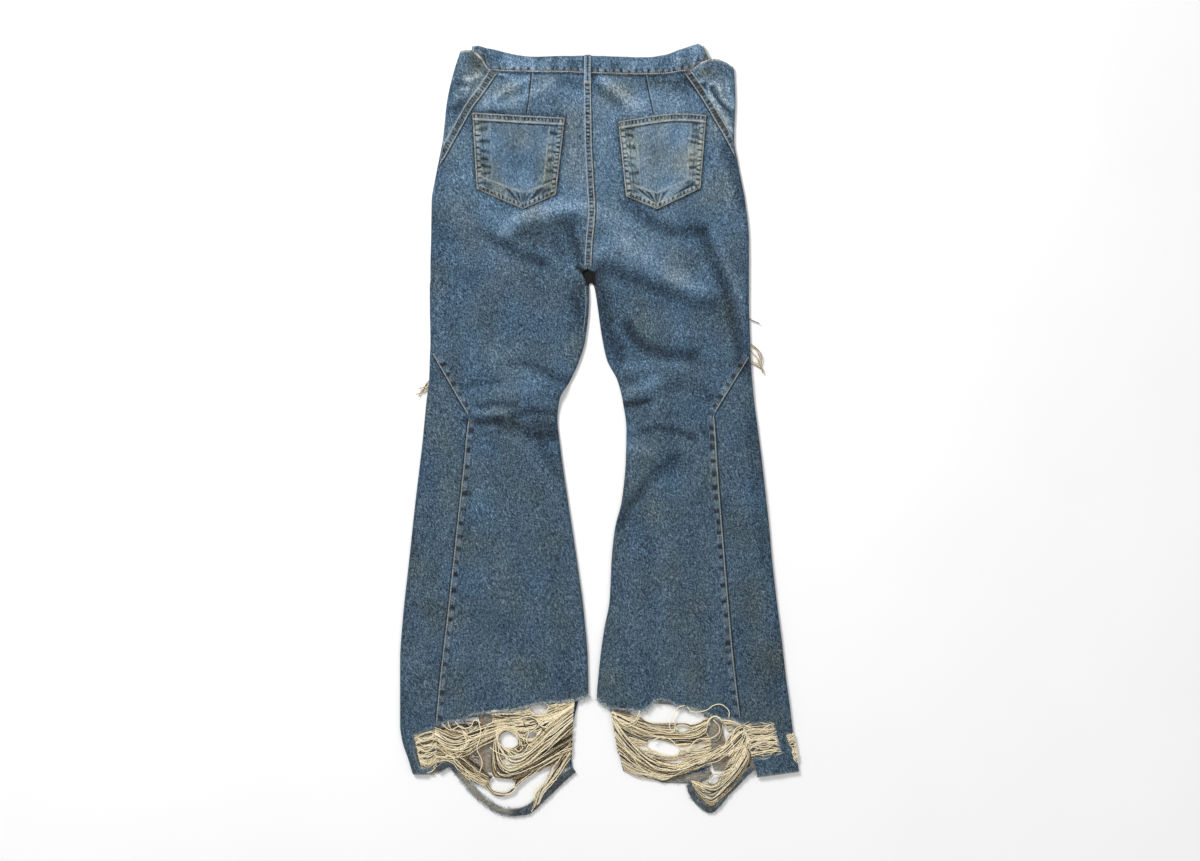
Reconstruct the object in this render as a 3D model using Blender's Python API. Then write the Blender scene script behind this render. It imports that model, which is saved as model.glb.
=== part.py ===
"""Bootcut jeans lying flat on a surface, back side up, with torn hems.

Lengths in the tables are millimetres. 'across' runs to the right from the centre-back line, and
'down' runs from the highest point of the waistband towards the hems. +Y points to the waist, +Z up,
and the origin is the middle of the outline on the surface. Left and right are the wearer's.
"""

from collections import namedtuple
from math import cos, hypot, pi, radians, sin

import bpy
from mathutils import Vector

MM = 0.001

# Driving sizes.
LENGTH = 1197.6
FURTHEST_LEFT = -291.5
FURTHEST_RIGHT = 327.0
CLOTH = 1.2
SEAM_GAP = 0.3
POCKET_SLACK = 0.4
WAISTBAND_THICK = 2.0
LOOP_THICK = 1.8
LOOP_WIDTH = 10.0
YARN_WALL = 1.2
HEM_TAPE_WIDTH = 11.0
HEM_TAPE_THICK = 4.0

# How the two layers lie on each other.
UNDER_HEIGHT = CLOTH / 2
FOLD_MIDDLE = 2.4
FOLD_REACH = 2.4
FOLD_ARC = 3.3
UPPER_HEIGHT = 4.7
CROWN = 0.5
CROWN_REACH = 45.0
CROTCH_DOWN = 350.0
FOLD_STARTS = 385.0
EDGE_STEPS = (0.0, 0.5, 1.6, FOLD_ARC)

# Rows of the panels. The back and the front share them, so that the outseam's two edges run alike.
# Between the edge steps, the middle of a row has columns at these shares of the way.
SEAT_ROWS = (43, 62, 85, 110, 134, 156, 183, 215, 245, 275, 305, 335, 352, 366, 385)
LEG_ROWS = (430, 466, 500, 535, 575, 605, 640, 700, 770, 850, 930, 985, 1054)
HEM_ROWS = (1092, 1128)
BACK_SHARES = (0.18, 0.38, 0.58, 0.78, 0.92)
FRONT_SHARES = (0.3, 0.6, 0.9)
WRAP_STEPS = 7
MOST_CROWDING = 1.6
CROWDED_WRAP = 20.0
EDGE_REACH = 55.0
FOLLOWING_ROUNDS = 3

# The outline: where each leg's fold lies on the outer side, where the upper layer ends on the inner
# side (the centre-back seam, then the inseam), and where the layer under it does.
Edge = namedtuple("Edge", "down outer inner under")
LEFT_LEG = [
    Edge(9, -197, 0, 0),
    Edge(43, -208, 0, 0),
    Edge(87, -218, 0, 0),
    Edge(149, -225, 2, 0),
    Edge(180, -231, 4, 0),
    Edge(211, -237, 6, 0),
    Edge(242, -242, 7, 0),
    Edge(304, -243, 3, 0),
    Edge(340, -244, -1, 0),
    Edge(347, -244, -1, 0),
    Edge(354, -244, -9, 1),
    Edge(366, -244, -5, 3),
    Edge(376, -245, 0, 1),
    Edge(397, -245, 1, 1),
    Edge(459, -244, -5, -5),
    Edge(490, -245, -14, -14),
    Edge(521, -246, -28, -28),
    Edge(552, -250, -45, -45),
    Edge(583, -253, -48, -48),
    Edge(614, -256, -45, -45),
    Edge(707, -267, -32, -32),
    Edge(800, -277, -18, -18),
    Edge(893, -287, -6, -6),
    Edge(955, -291, -1, -2),
    Edge(1009, -291, 0, -13),
    Edge(1056, -291, 0, -24),
    Edge(1079, -288, 0, -26),
    Edge(1110, -278, 0, -26),
    Edge(1133, -271, 0, -22),
]
RIGHT_LEG = [
    Edge(23, 222, 0, 0),
    Edge(43, 226, 0, 0),
    Edge(87, 228, 0, 0),
    Edge(149, 226, 2, 0),
    Edge(180, 231, 4, 0),
    Edge(211, 237, 6, 0),
    Edge(242, 243, 7, 0),
    Edge(304, 249, 3, 0),
    Edge(340, 249, -1, 0),
    Edge(347, 249, -1, 0),
    Edge(354, 249, 7, 2),
    Edge(366, 249, 10, 5),
    Edge(376, 249, 11, 10),
    Edge(397, 249, 14, 14),
    Edge(459, 251, 23, 23),
    Edge(490, 252, 30, 30),
    Edge(521, 254, 46, 46),
    Edge(552, 257, 54, 54),
    Edge(598, 263, 60, 60),
    Edge(645, 269, 59, 59),
    Edge(707, 276, 53, 53),
    Edge(753, 281, 42, 42),
    Edge(800, 285, 37, 37),
    Edge(862, 292, 34, 34),
    Edge(924, 300, 23, 24),
    Edge(986, 307, 16, 24),
    Edge(1014, 311, 14, 32),
    Edge(1071, 318, 14, 42),
    Edge(1130, 327, 14, 56),
]

# The outseam: on the upper layer at the hip, on the fold down the thigh, and on the upper layer again
# below the knee, where the front panel wraps round to the back of the calf.
Spot = namedtuple("Spot", "down across")
LEFT_HIP_SEAM = [
    Spot(0, -150),
    Spot(43, -150),
    Spot(76, -167),
    Spot(95, -180),
    Spot(156, -211),
    Spot(182, -231),
]
LEFT_CALF_SEAM = [
    Spot(466, -244),
    Spot(575, -184),
    Spot(679, -193),
    Spot(792, -206),
    Spot(910, -220),
    Spot(1017, -234),
    Spot(1133, -236),
]
RIGHT_HIP_SEAM = [
    Spot(0, 158),
    Spot(43, 158),
    Spot(84, 177),
    Spot(110, 194),
    Spot(133, 206),
    Spot(184, 231),
]
RIGHT_CALF_SEAM = [
    Spot(470, 251),
    Spot(569, 194),
    Spot(679, 201),
    Spot(804, 211),
    Spot(931, 223),
    Spot(1045, 236),
    Spot(1092, 251),
    Spot(1133, 261),
]

# Edges that run across the body, read as the distance down at each place across.
Rim = namedtuple("Rim", "across down")
LEFT_POCKET_MOUTH = [
    Rim(-198, 11),
    Rim(-189, 9),
    Rim(-179, 10),
    Rim(-171, 16.5),
    Rim(-163, 25.5),
    Rim(-157, 36),
    Rim(-150, 41.3),
]
RIGHT_POCKET_MOUTH = [
    Rim(158, 41.3),
    Rim(166, 36),
    Rim(174, 29),
    Rim(188, 24),
    Rim(201, 24),
    Rim(214, 29),
    Rim(225, 36),
]
LEFT_FRONT_TOP = [Rim(-198, 11), Rim(-175, 30), Rim(-150, 54), Rim(-112, 61), Rim(0, 63)]
RIGHT_FRONT_TOP = [Rim(0, 63), Rim(120, 65), Rim(158, 55), Rim(190, 46), Rim(225, 36)]
LEFT_TORN_EDGE = [
    Rim(-236, 1054),
    Rim(-214, 1049),
    Rim(-194, 1048),
    Rim(-178, 1038),
    Rim(-157, 1036.5),
    Rim(-117, 1031.5),
    Rim(-97, 1027.5),
    Rim(-87, 1023.5),
    Rim(-64, 1021.5),
    Rim(-20, 1016.5),
    Rim(0, 1008.5),
]
RIGHT_TORN_EDGE = [
    Rim(14, 1015),
    Rim(31, 1028),
    Rim(73, 1033),
    Rim(88, 1032),
    Rim(103, 1018.5),
    Rim(114, 1015),
    Rim(128, 1019.5),
    Rim(136, 1025),
    Rim(165, 1031),
    Rim(180, 1034),
    Rim(200, 1047),
    Rim(216, 1044),
    Rim(238, 1054),
]
LEFT_HEM = [Rim(-272, 1132), Rim(-252, 1133), Rim(-236, 1120)]
LEFT_UNDER_HEM = [Rim(-272, 1132), Rim(-186, 1130), Rim(-20, 1122)]
RIGHT_HEM = [Rim(240, 1137), Rim(262, 1137), Rim(300, 1132), Rim(327, 1128)]
RIGHT_UNDER_HEM = [Rim(40, 1128), Rim(327, 1126)]

# The waistband's two long edges on the back, from its left end to its right one.
Band = namedtuple("Band", "across top bottom")
WAISTBAND = [
    Band(-177, 3, 9),
    Band(-171, 3, 13.5),
    Band(-163, 5, 22),
    Band(-157, 7, 33),
    Band(-150, 8, 41),
    Band(-112, 17, 43),
    Band(-85, 20, 43.5),
    Band(-45, 19, 44),
    Band(0, 19, 46),
    Band(50, 20, 47),
    Band(90, 21, 47.5),
    Band(120, 17, 46.5),
    Band(142, 9, 43),
    Band(158, 4, 41),
    Band(164, 2, 35),
    Band(174, 0, 26.5),
    Band(181, 3, 23),
]
RIGHT_END_LEAN = 10.0
LEAN_FROM = 165.0
LEAN_REACH = 15.0
FRONT_DIP = 15.0
DIP_FROM = 120.0
DIP_REACH = 60.0

# The waistband's layers, as the heights of their middles. The band rises over the seams at the centre
# back, and its two ends overlap at the centre front, over the button.
BAND_LOW = 1.0
BAND_HIGH = 5.3
BAND_BUMP = 2.6
BAND_BUMP_REACH = 75.0
BAND_TURNS = (0, 45, 90, 135, 180)
LEFT_BACK_STOPS = [-171, -163, -157]
RIGHT_BACK_STOPS = [164, 170, 176]
Stop = namedtuple("Stop", "across height")
BAND_START = [Stop(16, 2.8), Stop(-14, 2.8), Stop(-30, 2.0), Stop(-50, 1.0), Stop(-120, 1.0), Stop(-160, 1.0)]
BAND_END = [Stop(160, 1.0), Stop(120, 1.0), Stop(75, 1.0), Stop(50, 2.4), Stop(30, 5.1), Stop(-14, 5.1)]

# Belt loops: the middle line of the back one, and the heights between which the side ones, seen on
# their edges, stand.
LoopSpot = namedtuple("LoopSpot", "down height")
BACK_LOOP = [LoopSpot(18, 10.15), LoopSpot(32, 10.25), LoopSpot(46, 10.2), LoopSpot(62, 10.1)]
SideLoop = namedtuple("SideLoop", "low high shown")
LEFT_LOOP = SideLoop(2.0, 3.8, 27.0)
RIGHT_LOOP = SideLoop(2.2, 5.8, 20.0)

# The largest folds of the upper layer: a soft ridge from one end to the other. Heights below zero
# are troughs.
Fold = namedtuple("Fold", "across down to_across to_down width height")
FOLDS = [
    Fold(0, 44, 0, 80, 75, 3.0),
    Fold(-178, 24, -168, 40, 34, 2.7),
    Fold(190, 30, 178, 44, 36, 2.7),
    Fold(-125, 300, -20, 250, 40, 3.0),
    Fold(-150, 305, -30, 345, 34, -1.2),
    Fold(15, 300, 80, 260, 42, 2.6),
    Fold(85, 255, 190, 330, 36, -1.4),
    Fold(-125, 500, -45, 540, 26, 3.2),
    Fold(-190, 545, -60, 560, 22, 2.6),
    Fold(-175, 590, -60, 585, 22, -1.2),
    Fold(60, 455, 150, 490, 26, -1.3),
    Fold(45, 500, 150, 505, 26, 3.2),
    Fold(65, 550, 130, 520, 24, 2.4),
    Fold(190, 330, 225, 480, 36, 2.2),
]

# Patch pockets: the four upper and lower corners and the point, clockwise from the upper left, and how
# far the top edge bows up.
LEFT_POCKET = [Rim(-179, 107), Rim(-36, 115), Rim(-50, 234), Rim(-101, 256), Rim(-172, 225)]
RIGHT_POCKET = [Rim(47, 121), Rim(183, 111), Rim(174, 224), Rim(107, 256), Rim(59, 236)]
LEFT_POCKET_BOW = 0.0
RIGHT_POCKET_BOW = 6.0
POCKET_STEPS = 8

# Torn windows, whose outlines run round the missing cloth, and the heights between which they are cut
# from the upper layer and from the layer beneath.
UPPER_CUT_LOW = 2.6
UPPER_CUT_HIGH = 12.0
UNDER_CUT_LOW = -1.0
UNDER_CUT_HIGH = 2.4
LEFT_SIDE_WINDOW = [(-270, 1071), (-237, 1060), (-229, 1060), (-229, 1121), (-259, 1124), (-268, 1102)]
RIGHT_SIDE_WINDOW = [(236, 1053), (287, 1053), (298, 1099), (257, 1107), (246, 1092)]
LEFT_UNDER_WINDOWS = [
    [(-228, 1056), (-188, 1046), (-186, 1145), (-232, 1145)],
    [(-143, 1038), (-90, 1024), (-44, 1024), (-40, 1145), (-145, 1145)],
]
RIGHT_UNDER_WINDOWS = [
    [(66, 1042), (95, 1036), (118, 1022), (186, 1046), (192, 1145), (63, 1145)],
    [(206, 1056), (234, 1060), (246, 1108), (229, 1112), (212, 1102)],
]

# Yarn walls, where the cloth has lost its lengthwise threads and only the crosswise ones are left.
LEFT_HOLE = [(-137, 1071), (-125, 1068), (-108, 1073), (-107, 1079), (-121, 1092), (-127, 1086)]
RIGHT_HOLE = [
    (95, 1081), (104, 1080), (120, 1084), (136, 1091), (137, 1098), (128, 1101), (112, 1094), (98, 1087),
]
YarnWall = namedtuple("YarnWall", "name outline low holes")
YARN_WALLS = [
    YarnWall(
        "yarns_left_side",
        [(-269, 1072), (-238, 1061.5), (-236.4, 1062), (-236.4, 1118), (-258, 1123), (-267, 1102)],
        4.2,
        [],
    ),
    YarnWall(
        "yarns_left_back",
        [
            (-233, 1056.5), (-214, 1051), (-194, 1050), (-178, 1041), (-157, 1038), (-117, 1033), (-97, 1029),
            (-87, 1025), (-64, 1022.5), (-28, 1018.2), (-25, 1112), (-60, 1107), (-90, 1128), (-117, 1142),
            (-137, 1138), (-157, 1150), (-176, 1142), (-196, 1122), (-213, 1108.6), (-234.6, 1115),
        ],
        4.2,
        [
            [(-88, 1027), (-79, 1026), (-66, 1027), (-68, 1034), (-80, 1037), (-87, 1034)],
            LEFT_HOLE,
        ],
    ),
    YarnWall(
        "yarns_left_front_outer",
        [(-227.4, 1056.6), (-188.6, 1047), (-187.2, 1118), (-210, 1104), (-230, 1108)],
        0.0,
        [],
    ),
    YarnWall(
        "yarns_left_front_inner",
        [
            (-142.4, 1039), (-96, 1027), (-90, 1035), (-70, 1037), (-62, 1026), (-46, 1025), (-44, 1110),
            (-144.2, 1120),
        ],
        0.0,
        [LEFT_HOLE],
    ),
    YarnWall(
        "yarns_right_side",
        [(242.6, 1053.8), (286.2, 1053.8), (297, 1098.4), (257.8, 1106), (250, 1080)],
        4.2,
        [],
    ),
    YarnWall(
        "yarns_right_back",
        [
            (36, 1032), (65, 1036), (88, 1036), (92, 1052), (128, 1052), (136, 1056), (160, 1056), (178, 1040),
            (200, 1050), (216, 1048), (236.5, 1057), (240.5, 1066), (249, 1091), (252, 1106), (240, 1122),
            (215, 1146), (196, 1166), (184, 1168), (170, 1158), (156, 1146), (139, 1144), (120, 1141),
            (88, 1138), (64, 1137), (56, 1132), (54, 1120), (48, 1107), (41, 1060),
        ],
        4.2,
        [RIGHT_HOLE],
    ),
    YarnWall(
        "yarns_right_front",
        [
            (67, 1044), (86, 1042), (92, 1053), (128, 1053), (136, 1057), (160, 1057), (178, 1045),
            (185.2, 1047), (189.6, 1112), (65.4, 1112),
        ],
        0.0,
        [RIGHT_HOLE],
    ),
]

# Torn-off hem tapes, as the line through the middle of each.
TAPE_SIDES = 8
TAPE_STEPS = 2
Node = namedtuple("Node", "across down middle")
LEFT_HEM_TAPE = [
    Node(-233.6, 1124.5, 5.2),
    Node(-214, 1115, 3.4),
    Node(-201, 1129, 2.0),
    Node(-184, 1151, 2.0),
    Node(-166, 1169, 2.0),
    Node(-147, 1183, 2.0),
    Node(-127, 1191, 2.0),
    Node(-107, 1191.2, 2.0),
    Node(-88, 1184, 2.0),
    Node(-56, 1154, 2.0),
    Node(-39, 1138, 2.0),
    Node(-26, 1129, 2.0),
]
RIGHT_HEM_TAPE = [
    Node(254.6, 1122, 5.2),
    Node(241, 1134, 3.2),
    Node(224, 1152, 2.0),
    Node(207, 1171, 2.0),
    Node(193, 1186, 2.0),
    Node(182, 1184, 2.0),
    Node(165, 1167, 2.0),
    Node(157, 1148, 2.0),
]
FRONT_HEM_RIGHT = [
    Node(108, 1136, 0.6),
    Node(130, 1139, 0.6),
    Node(150, 1137, 0.6),
    Node(190.6, 1126, 0.6),
]
FRONT_HEM_WIDTH = 13.0
FRONT_HEM_SQUEEZE = 0.5

# Loose threads from the front's worn knees, which stick out past the fold.
LEFT_KNEE_THREADS = [(-247.3, 525), (-256, 531), (-265, 545), (-256, 541), (-248.7, 535)]
RIGHT_KNEE_THREADS = [(252.2, 468), (262, 474), (268, 490), (273, 508), (264, 503), (258, 492), (253, 480)]
THREADS_THICK = 1.4
THREADS_LOW = 1.7

# Front closing.
BUTTON_SIDES = 24
WAIST_DOWN = 43.0
BUTTON_RADIUS = 8.5
BUTTON_THICK = 1.5
BUTTON_DOWN = 44.0
FLY_OUTLINE = [(-6, 63), (34, 63), (34, 160), (24, 188), (4, 200), (-6, 196)]


def pchip(rows, key, value, at):
    """The column `value` where the column `key` is `at`, on a smooth curve with no overshoot."""
    x = [getattr(row, key) for row in rows]
    y = [getattr(row, value) for row in rows]
    if at <= x[0]:
        return y[0]
    if at >= x[-1]:
        return y[-1]
    step = [(y[i + 1] - y[i]) / (x[i + 1] - x[i]) for i in range(len(x) - 1)]
    slope = [step[0]]
    for before, after in zip(step, step[1:]):
        slope.append(2 * before * after / (before + after) if before * after > 0 else 0.0)
    slope.append(step[-1])
    i = max(k for k in range(len(step)) if x[k] <= at)
    wide = x[i + 1] - x[i]
    t = (at - x[i]) / wide
    rise = y[i] * (1 + 2 * t) + slope[i] * wide * t
    fall = y[i + 1] * (3 - 2 * t) - slope[i + 1] * wide * (1 - t)
    return rise * (1 - t) ** 2 + fall * t**2


def straight(rows, key, value, at):
    """The same on straight lines between the rows."""
    first, last = rows[0], rows[-1]
    if at <= getattr(first, key):
        return getattr(first, value)
    if at >= getattr(last, key):
        return getattr(last, value)
    for a, b in zip(rows, rows[1:]):
        low, high = getattr(a, key), getattr(b, key)
        if at <= high:
            share = (at - low) / (high - low)
            return getattr(a, value) * (1 - share) + getattr(b, value) * share


def ease(share):
    """0 below 0, 1 above 1, and a soft step between them."""
    share = min(max(share, 0.0), 1.0)
    return share * share * (3 - 2 * share)


def place(across, down, height):
    """A point in metres, from millimetres across, down and up."""
    middle = (FURTHEST_LEFT + FURTHEST_RIGHT) / 2
    return Vector(((across - middle) * MM, (LENGTH / 2 - down) * MM, height * MM))


def fold_height(fold, across, down):
    """How far one fold lifts the cloth at a place."""
    run_x, run_y = fold.to_across - fold.across, fold.to_down - fold.down
    length = hypot(run_x, run_y)
    x, y = across - fold.across, down - fold.down
    along = (x * run_x + y * run_y) / length
    aside = (x * run_y - y * run_x) / length
    past = max(-along, along - length, 0.0)
    away = hypot(aside, past) / fold.width
    return fold.height * cos(pi / 2 * away) ** 2 if away < 1 else 0.0


class Leg:
    """One side of the garment, from the waist to the hem."""

    def __init__(self, name, edges, hip_seam, calf_seam):
        self.name = name
        self.edges = edges
        self.hip_seam = hip_seam
        self.calf_seam = calf_seam
        self.side = 1 if edges[0].outer > 0 else -1

    def outer(self, down):
        return pchip(self.edges, "down", "outer", down)

    def inner(self, down):
        return pchip(self.edges, "down", "inner", down)

    def under(self, down):
        return pchip(self.edges, "down", "under", down)

    def seam(self, down):
        """Where the outseam lies across."""
        if down <= self.hip_seam[-1].down:
            return straight(self.hip_seam, "down", "across", down)
        if down < self.calf_seam[0].down:
            return self.outer(down)
        return straight(self.calf_seam, "down", "across", down)

    def wrap(self, down):
        """How far the front panel reaches past the fold onto the upper layer."""
        return max((self.outer(down) - self.seam(down)) * self.side, 0.0)

    def lift(self, across, down):
        """The height of the upper layer's middle away from its folded edges."""
        from_edge = min((self.outer(down) - across) * self.side, CROWN_REACH)
        crown = CROWN * ease(from_edge / CROWN_REACH)
        return UPPER_HEIGHT + crown + sum(fold_height(f, across, down) for f in FOLDS)

    def ring(self, reach, down):
        """The point `reach` along the cloth from the outer fold's tip: negative on the layer beneath."""
        turn = min(abs(reach) / FOLD_ARC, 1.0) * pi / 2
        inward = FOLD_REACH * (1 - cos(turn)) + max(abs(reach) - FOLD_ARC, 0.0)
        across = self.outer(down) - inward * self.side
        full = self.lift(across, down) if reach > 0 else UNDER_HEIGHT
        return across, FOLD_MIDDLE + (full - FOLD_MIDDLE) * sin(turn)

    def inner_point(self, reach, down, is_upper):
        """The point `reach` along the cloth from the inner edge. Above the crotch the layers end flat, at the
        centre seams, and below it they meet in a fold at the inseam."""
        turn = min(reach / FOLD_ARC, 1.0) * pi / 2
        folded_in = FOLD_REACH * (1 - cos(turn)) + max(reach - FOLD_ARC, 0.0)
        share = ease((down - CROTCH_DOWN) / (FOLD_STARTS - CROTCH_DOWN))
        inward = reach + (folded_in - reach) * share
        across = (self.inner(down) if is_upper else self.under(down)) + inward * self.side
        full = self.lift(across, down) if is_upper else UNDER_HEIGHT
        folded = FOLD_MIDDLE + (full - FOLD_MIDDLE) * sin(turn)
        return across, full + (folded - full) * share

    def back_row(self, down):
        """One row of the back panel, from the inner edge to the outseam."""
        start = SEAM_GAP / 2
        row = [self.inner_point(start + step, down, True) for step in EDGE_STEPS]
        end = self.wrap(down) + SEAM_GAP / 2
        tail = [self.ring(end + step, down) for step in reversed(EDGE_STEPS)]
        first, last = row[-1][0], tail[0][0]
        for share in BACK_SHARES:
            across = first + (last - first) * share
            row.append((across, self.lift(across, down)))
        return row + tail

    def front_row(self, down):
        """One row of the front panel: along the layer beneath, round the outer fold and on to the outseam."""
        start = SEAM_GAP / 2
        row = [self.inner_point(start + step, down, False) for step in EDGE_STEPS]
        first, last = row[-1][0], self.ring(-FOLD_ARC, down)[0]
        for share in FRONT_SHARES:
            row.append((first + (last - first) * share, UNDER_HEIGHT))
        end = self.wrap(down) - SEAM_GAP / 2
        crowding = 1 + MOST_CROWDING * min(max(end, 0.0) / CROWDED_WRAP, 1.0)
        for k in range(WRAP_STEPS + 1):
            reach = -FOLD_ARC + (end + FOLD_ARC) * (k / WRAP_STEPS) ** crowding
            row.append(self.ring(reach, down))
        return row


LEFT = Leg("left", LEFT_LEG, LEFT_HIP_SEAM, LEFT_CALF_SEAM)
RIGHT = Leg("right", RIGHT_LEG, RIGHT_HIP_SEAM, RIGHT_CALF_SEAM)


def material(name, color, roughness, metallic=0.0):
    """A plain finish."""
    made = bpy.data.materials.new(name)
    made.use_nodes = True
    shader = made.node_tree.nodes["Principled BSDF"]
    shader.inputs["Base Color"].default_value = (*color, 1.0)
    shader.inputs["Roughness"].default_value = roughness
    shader.inputs["Metallic"].default_value = metallic
    return made


def add_object(name, points, faces, finish):
    """One closed piece, with its faces turned outwards."""
    mesh = bpy.data.meshes.new(name)
    mesh.from_pydata(points, [], faces)
    mesh.materials.append(finish)
    mesh.update()
    made = bpy.data.objects.new(name, mesh)
    bpy.context.scene.collection.objects.link(made)
    return made


def sheet(name, grid, thick, finish):
    """A closed wall of cloth on a grid of middle points in metres, half its thickness to either side."""
    rows, columns = len(grid), len(grid[0])
    above, below = [], []
    for i in range(rows):
        for j in range(columns):
            along = grid[min(i + 1, rows - 1)][j] - grid[max(i - 1, 0)][j]
            aside = grid[i][min(j + 1, columns - 1)] - grid[i][max(j - 1, 0)]
            normal = aside.cross(along).normalized() * (thick * MM / 2)
            above.append(grid[i][j] + normal)
            below.append(grid[i][j] - normal)
    size = rows * columns
    faces = []
    for i in range(rows - 1):
        for j in range(columns - 1):
            a, b = i * columns + j, i * columns + j + 1
            c, d = b + columns, a + columns
            faces += [(a, b, c, d), (size + a, size + d, size + c, size + b)]
    rim = [(i, 0) for i in range(rows)] + [(rows - 1, j) for j in range(1, columns)]
    rim += [(i, columns - 1) for i in range(rows - 2, -1, -1)] + [(0, j) for j in range(columns - 2, 0, -1)]
    loop = [i * columns + j for i, j in rim]
    for a, b in zip(loop, loop[1:] + loop[:1]):
        faces.append((a, b, size + b, size + a))
    return add_object(name, above + below, faces, finish)


def prism(name, outline, low, high, finish):
    """A flat wall with that outline, from one height to another."""
    area = sum(a[0] * b[1] - b[0] * a[1] for a, b in zip(outline, outline[1:] + outline[:1]))
    ring = list(outline) if area < 0 else list(outline)[::-1]
    count = len(ring)
    points = [place(x, y, low) for x, y in ring] + [place(x, y, high) for x, y in ring]
    faces = [tuple(range(count))[::-1], tuple(range(count, 2 * count))]
    for i in range(count):
        j = (i + 1) % count
        faces.append((i, j, count + j, count + i))
    return add_object(name, points, faces, finish)


def cut(target, outline, low, high, name):
    """Takes the inside of an outline out of a piece, between two heights."""
    cutter = prism(name, outline, low, high, target.data.materials[0])
    cutter.hide_render = True
    cutter.display_type = "WIRE"
    tool = target.modifiers.new(name, "BOOLEAN")
    tool.operation = "DIFFERENCE"
    tool.solver = "EXACT"
    tool.object = cutter


def following(row_downs, top, bottom, row_of):
    """A grid whose first and last rows follow the top and bottom edges.

    `top` and `bottom` give the distance down of those edges at a column's place. The rows within
    EDGE_REACH of an edge take up the difference.
    """
    first, last = row_downs[0], row_downs[-1]
    grid = []
    for base in row_downs:
        near_top = 1 - ease((base - first) / EDGE_REACH)
        near_bottom = 1 - ease((last - base) / EDGE_REACH)
        row = []
        for column, (across, height) in enumerate(row_of(base)):
            down = base
            for _ in range(FOLLOWING_ROUNDS):
                to_top = (top(column, across) - first) * near_top
                to_bottom = (bottom(column, across) - last) * near_bottom
                down = base + to_top + to_bottom
                across, height = row_of(down)[column]
            row.append(place(across, down, height))
        grid.append(row)
    return grid


def back_panel(leg, torn_edge, finish):
    """The back of one leg with its half of the seat, from the waist seam to the torn edge."""
    grid = following(
        SEAT_ROWS + LEG_ROWS,
        lambda column, across: pchip(WAISTBAND, "across", "bottom", across) + SEAM_GAP,
        lambda column, across: straight(torn_edge, "across", "down", across),
        leg.back_row,
    )
    return sheet(f"back_{leg.name}", grid, CLOTH, finish)


def front_panel(leg, mouth, top, hem, under_hem, finish):
    """The front of one leg, which wraps round the fold to the back at the hip and below the knee."""
    beneath = len(EDGE_STEPS) + len(FRONT_SHARES)

    def top_down(column, across):
        rows = top if column <= beneath else mouth
        return straight(rows, "across", "down", across)

    def hem_down(column, across):
        rows = under_hem if column <= beneath else hem
        return straight(rows, "across", "down", across)

    grid = following(SEAT_ROWS + LEG_ROWS + HEM_ROWS, top_down, hem_down, leg.front_row)
    return sheet(f"front_{leg.name}", grid, CLOTH, finish)


def pocket(leg, corners, bow, finish):
    """A patch pocket lying on the back panel."""
    top_left, top_right, low_right, tip, low_left = corners
    tip_share = (tip.across - low_left.across) / (low_right.across - low_left.across)
    lift_off = CLOTH + SEAM_GAP + POCKET_SLACK
    columns = sorted({k / POCKET_STEPS for k in range(POCKET_STEPS + 1)} | {tip_share})
    grid = []
    for i in range(POCKET_STEPS + 1):
        v = i / POCKET_STEPS
        row = []
        for u in columns:
            left = top_left.across + (low_left.across - top_left.across) * v
            right = top_right.across + (low_right.across - top_right.across) * v
            across = left + (right - left) * u
            above = top_left.down + (top_right.down - top_left.down) * u - bow * sin(pi * u)
            if u <= tip_share:
                beneath = low_left.down + (tip.down - low_left.down) * u / tip_share
            else:
                beneath = tip.down + (low_right.down - tip.down) * (u - tip_share) / (1 - tip_share)
            down = above + (beneath - above) * v
            row.append(place(across, down, leg.lift(across, down) + lift_off))
        grid.append(row)
    return sheet(f"pocket_{leg.name}", grid, CLOTH, finish)


def waistband_path():
    """The waistband seen from its end: (across, height, is on the back), from one front end to the other."""
    left, right = WAISTBAND[0].across, WAISTBAND[-1].across
    reach, middle = (BAND_HIGH - BAND_LOW) / 2, (BAND_HIGH + BAND_LOW) / 2
    path = [(stop.across, stop.height, False) for stop in BAND_START]
    for turn in BAND_TURNS:
        angle = radians(turn)
        path.append((left + reach - reach * sin(angle), middle - reach * cos(angle), turn > 90))
    seams = [across for across, _ in LEFT.back_row(WAIST_DOWN)][::-1]
    seams += [across for across, _ in RIGHT.back_row(WAIST_DOWN)]
    for across in LEFT_BACK_STOPS + seams + RIGHT_BACK_STOPS:
        bump = BAND_BUMP * cos(min(abs(across) / BAND_BUMP_REACH, 1) * pi / 2) ** 2
        path.append((across, BAND_HIGH + bump, True))
    for turn in reversed(BAND_TURNS):
        angle = radians(turn)
        path.append((right - reach + reach * sin(angle), middle - reach * cos(angle), turn > 90))
    return path + [(stop.across, stop.height, False) for stop in BAND_END]


def waistband(finish):
    """One band all round, whose ends overlap at the centre front."""
    grid = []
    for across, height, is_back in waistband_path():
        dip = 0.0
        if not is_back:
            dip = FRONT_DIP * (1 - ease((abs(across) - DIP_FROM) / DIP_REACH))
        top = pchip(WAISTBAND, "across", "top", across) + dip
        bottom = pchip(WAISTBAND, "across", "bottom", across) + dip
        lean = RIGHT_END_LEAN * ease((across - LEAN_FROM) / LEAN_REACH)
        grid.append([place(across - lean / 2, top, height), place(across + lean / 2, bottom, height)])
    return sheet("waistband", grid, WAISTBAND_THICK, finish)


def back_belt_loop(finish):
    """The belt loop at the centre back, from above the waistband to the seat."""
    grid = [
        [place(offset, spot.down, spot.height) for offset in (-LOOP_WIDTH / 2, 0.0, LOOP_WIDTH / 2)]
        for spot in BACK_LOOP
    ]
    return sheet("belt_loop_back", grid, LOOP_THICK, finish)


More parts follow.
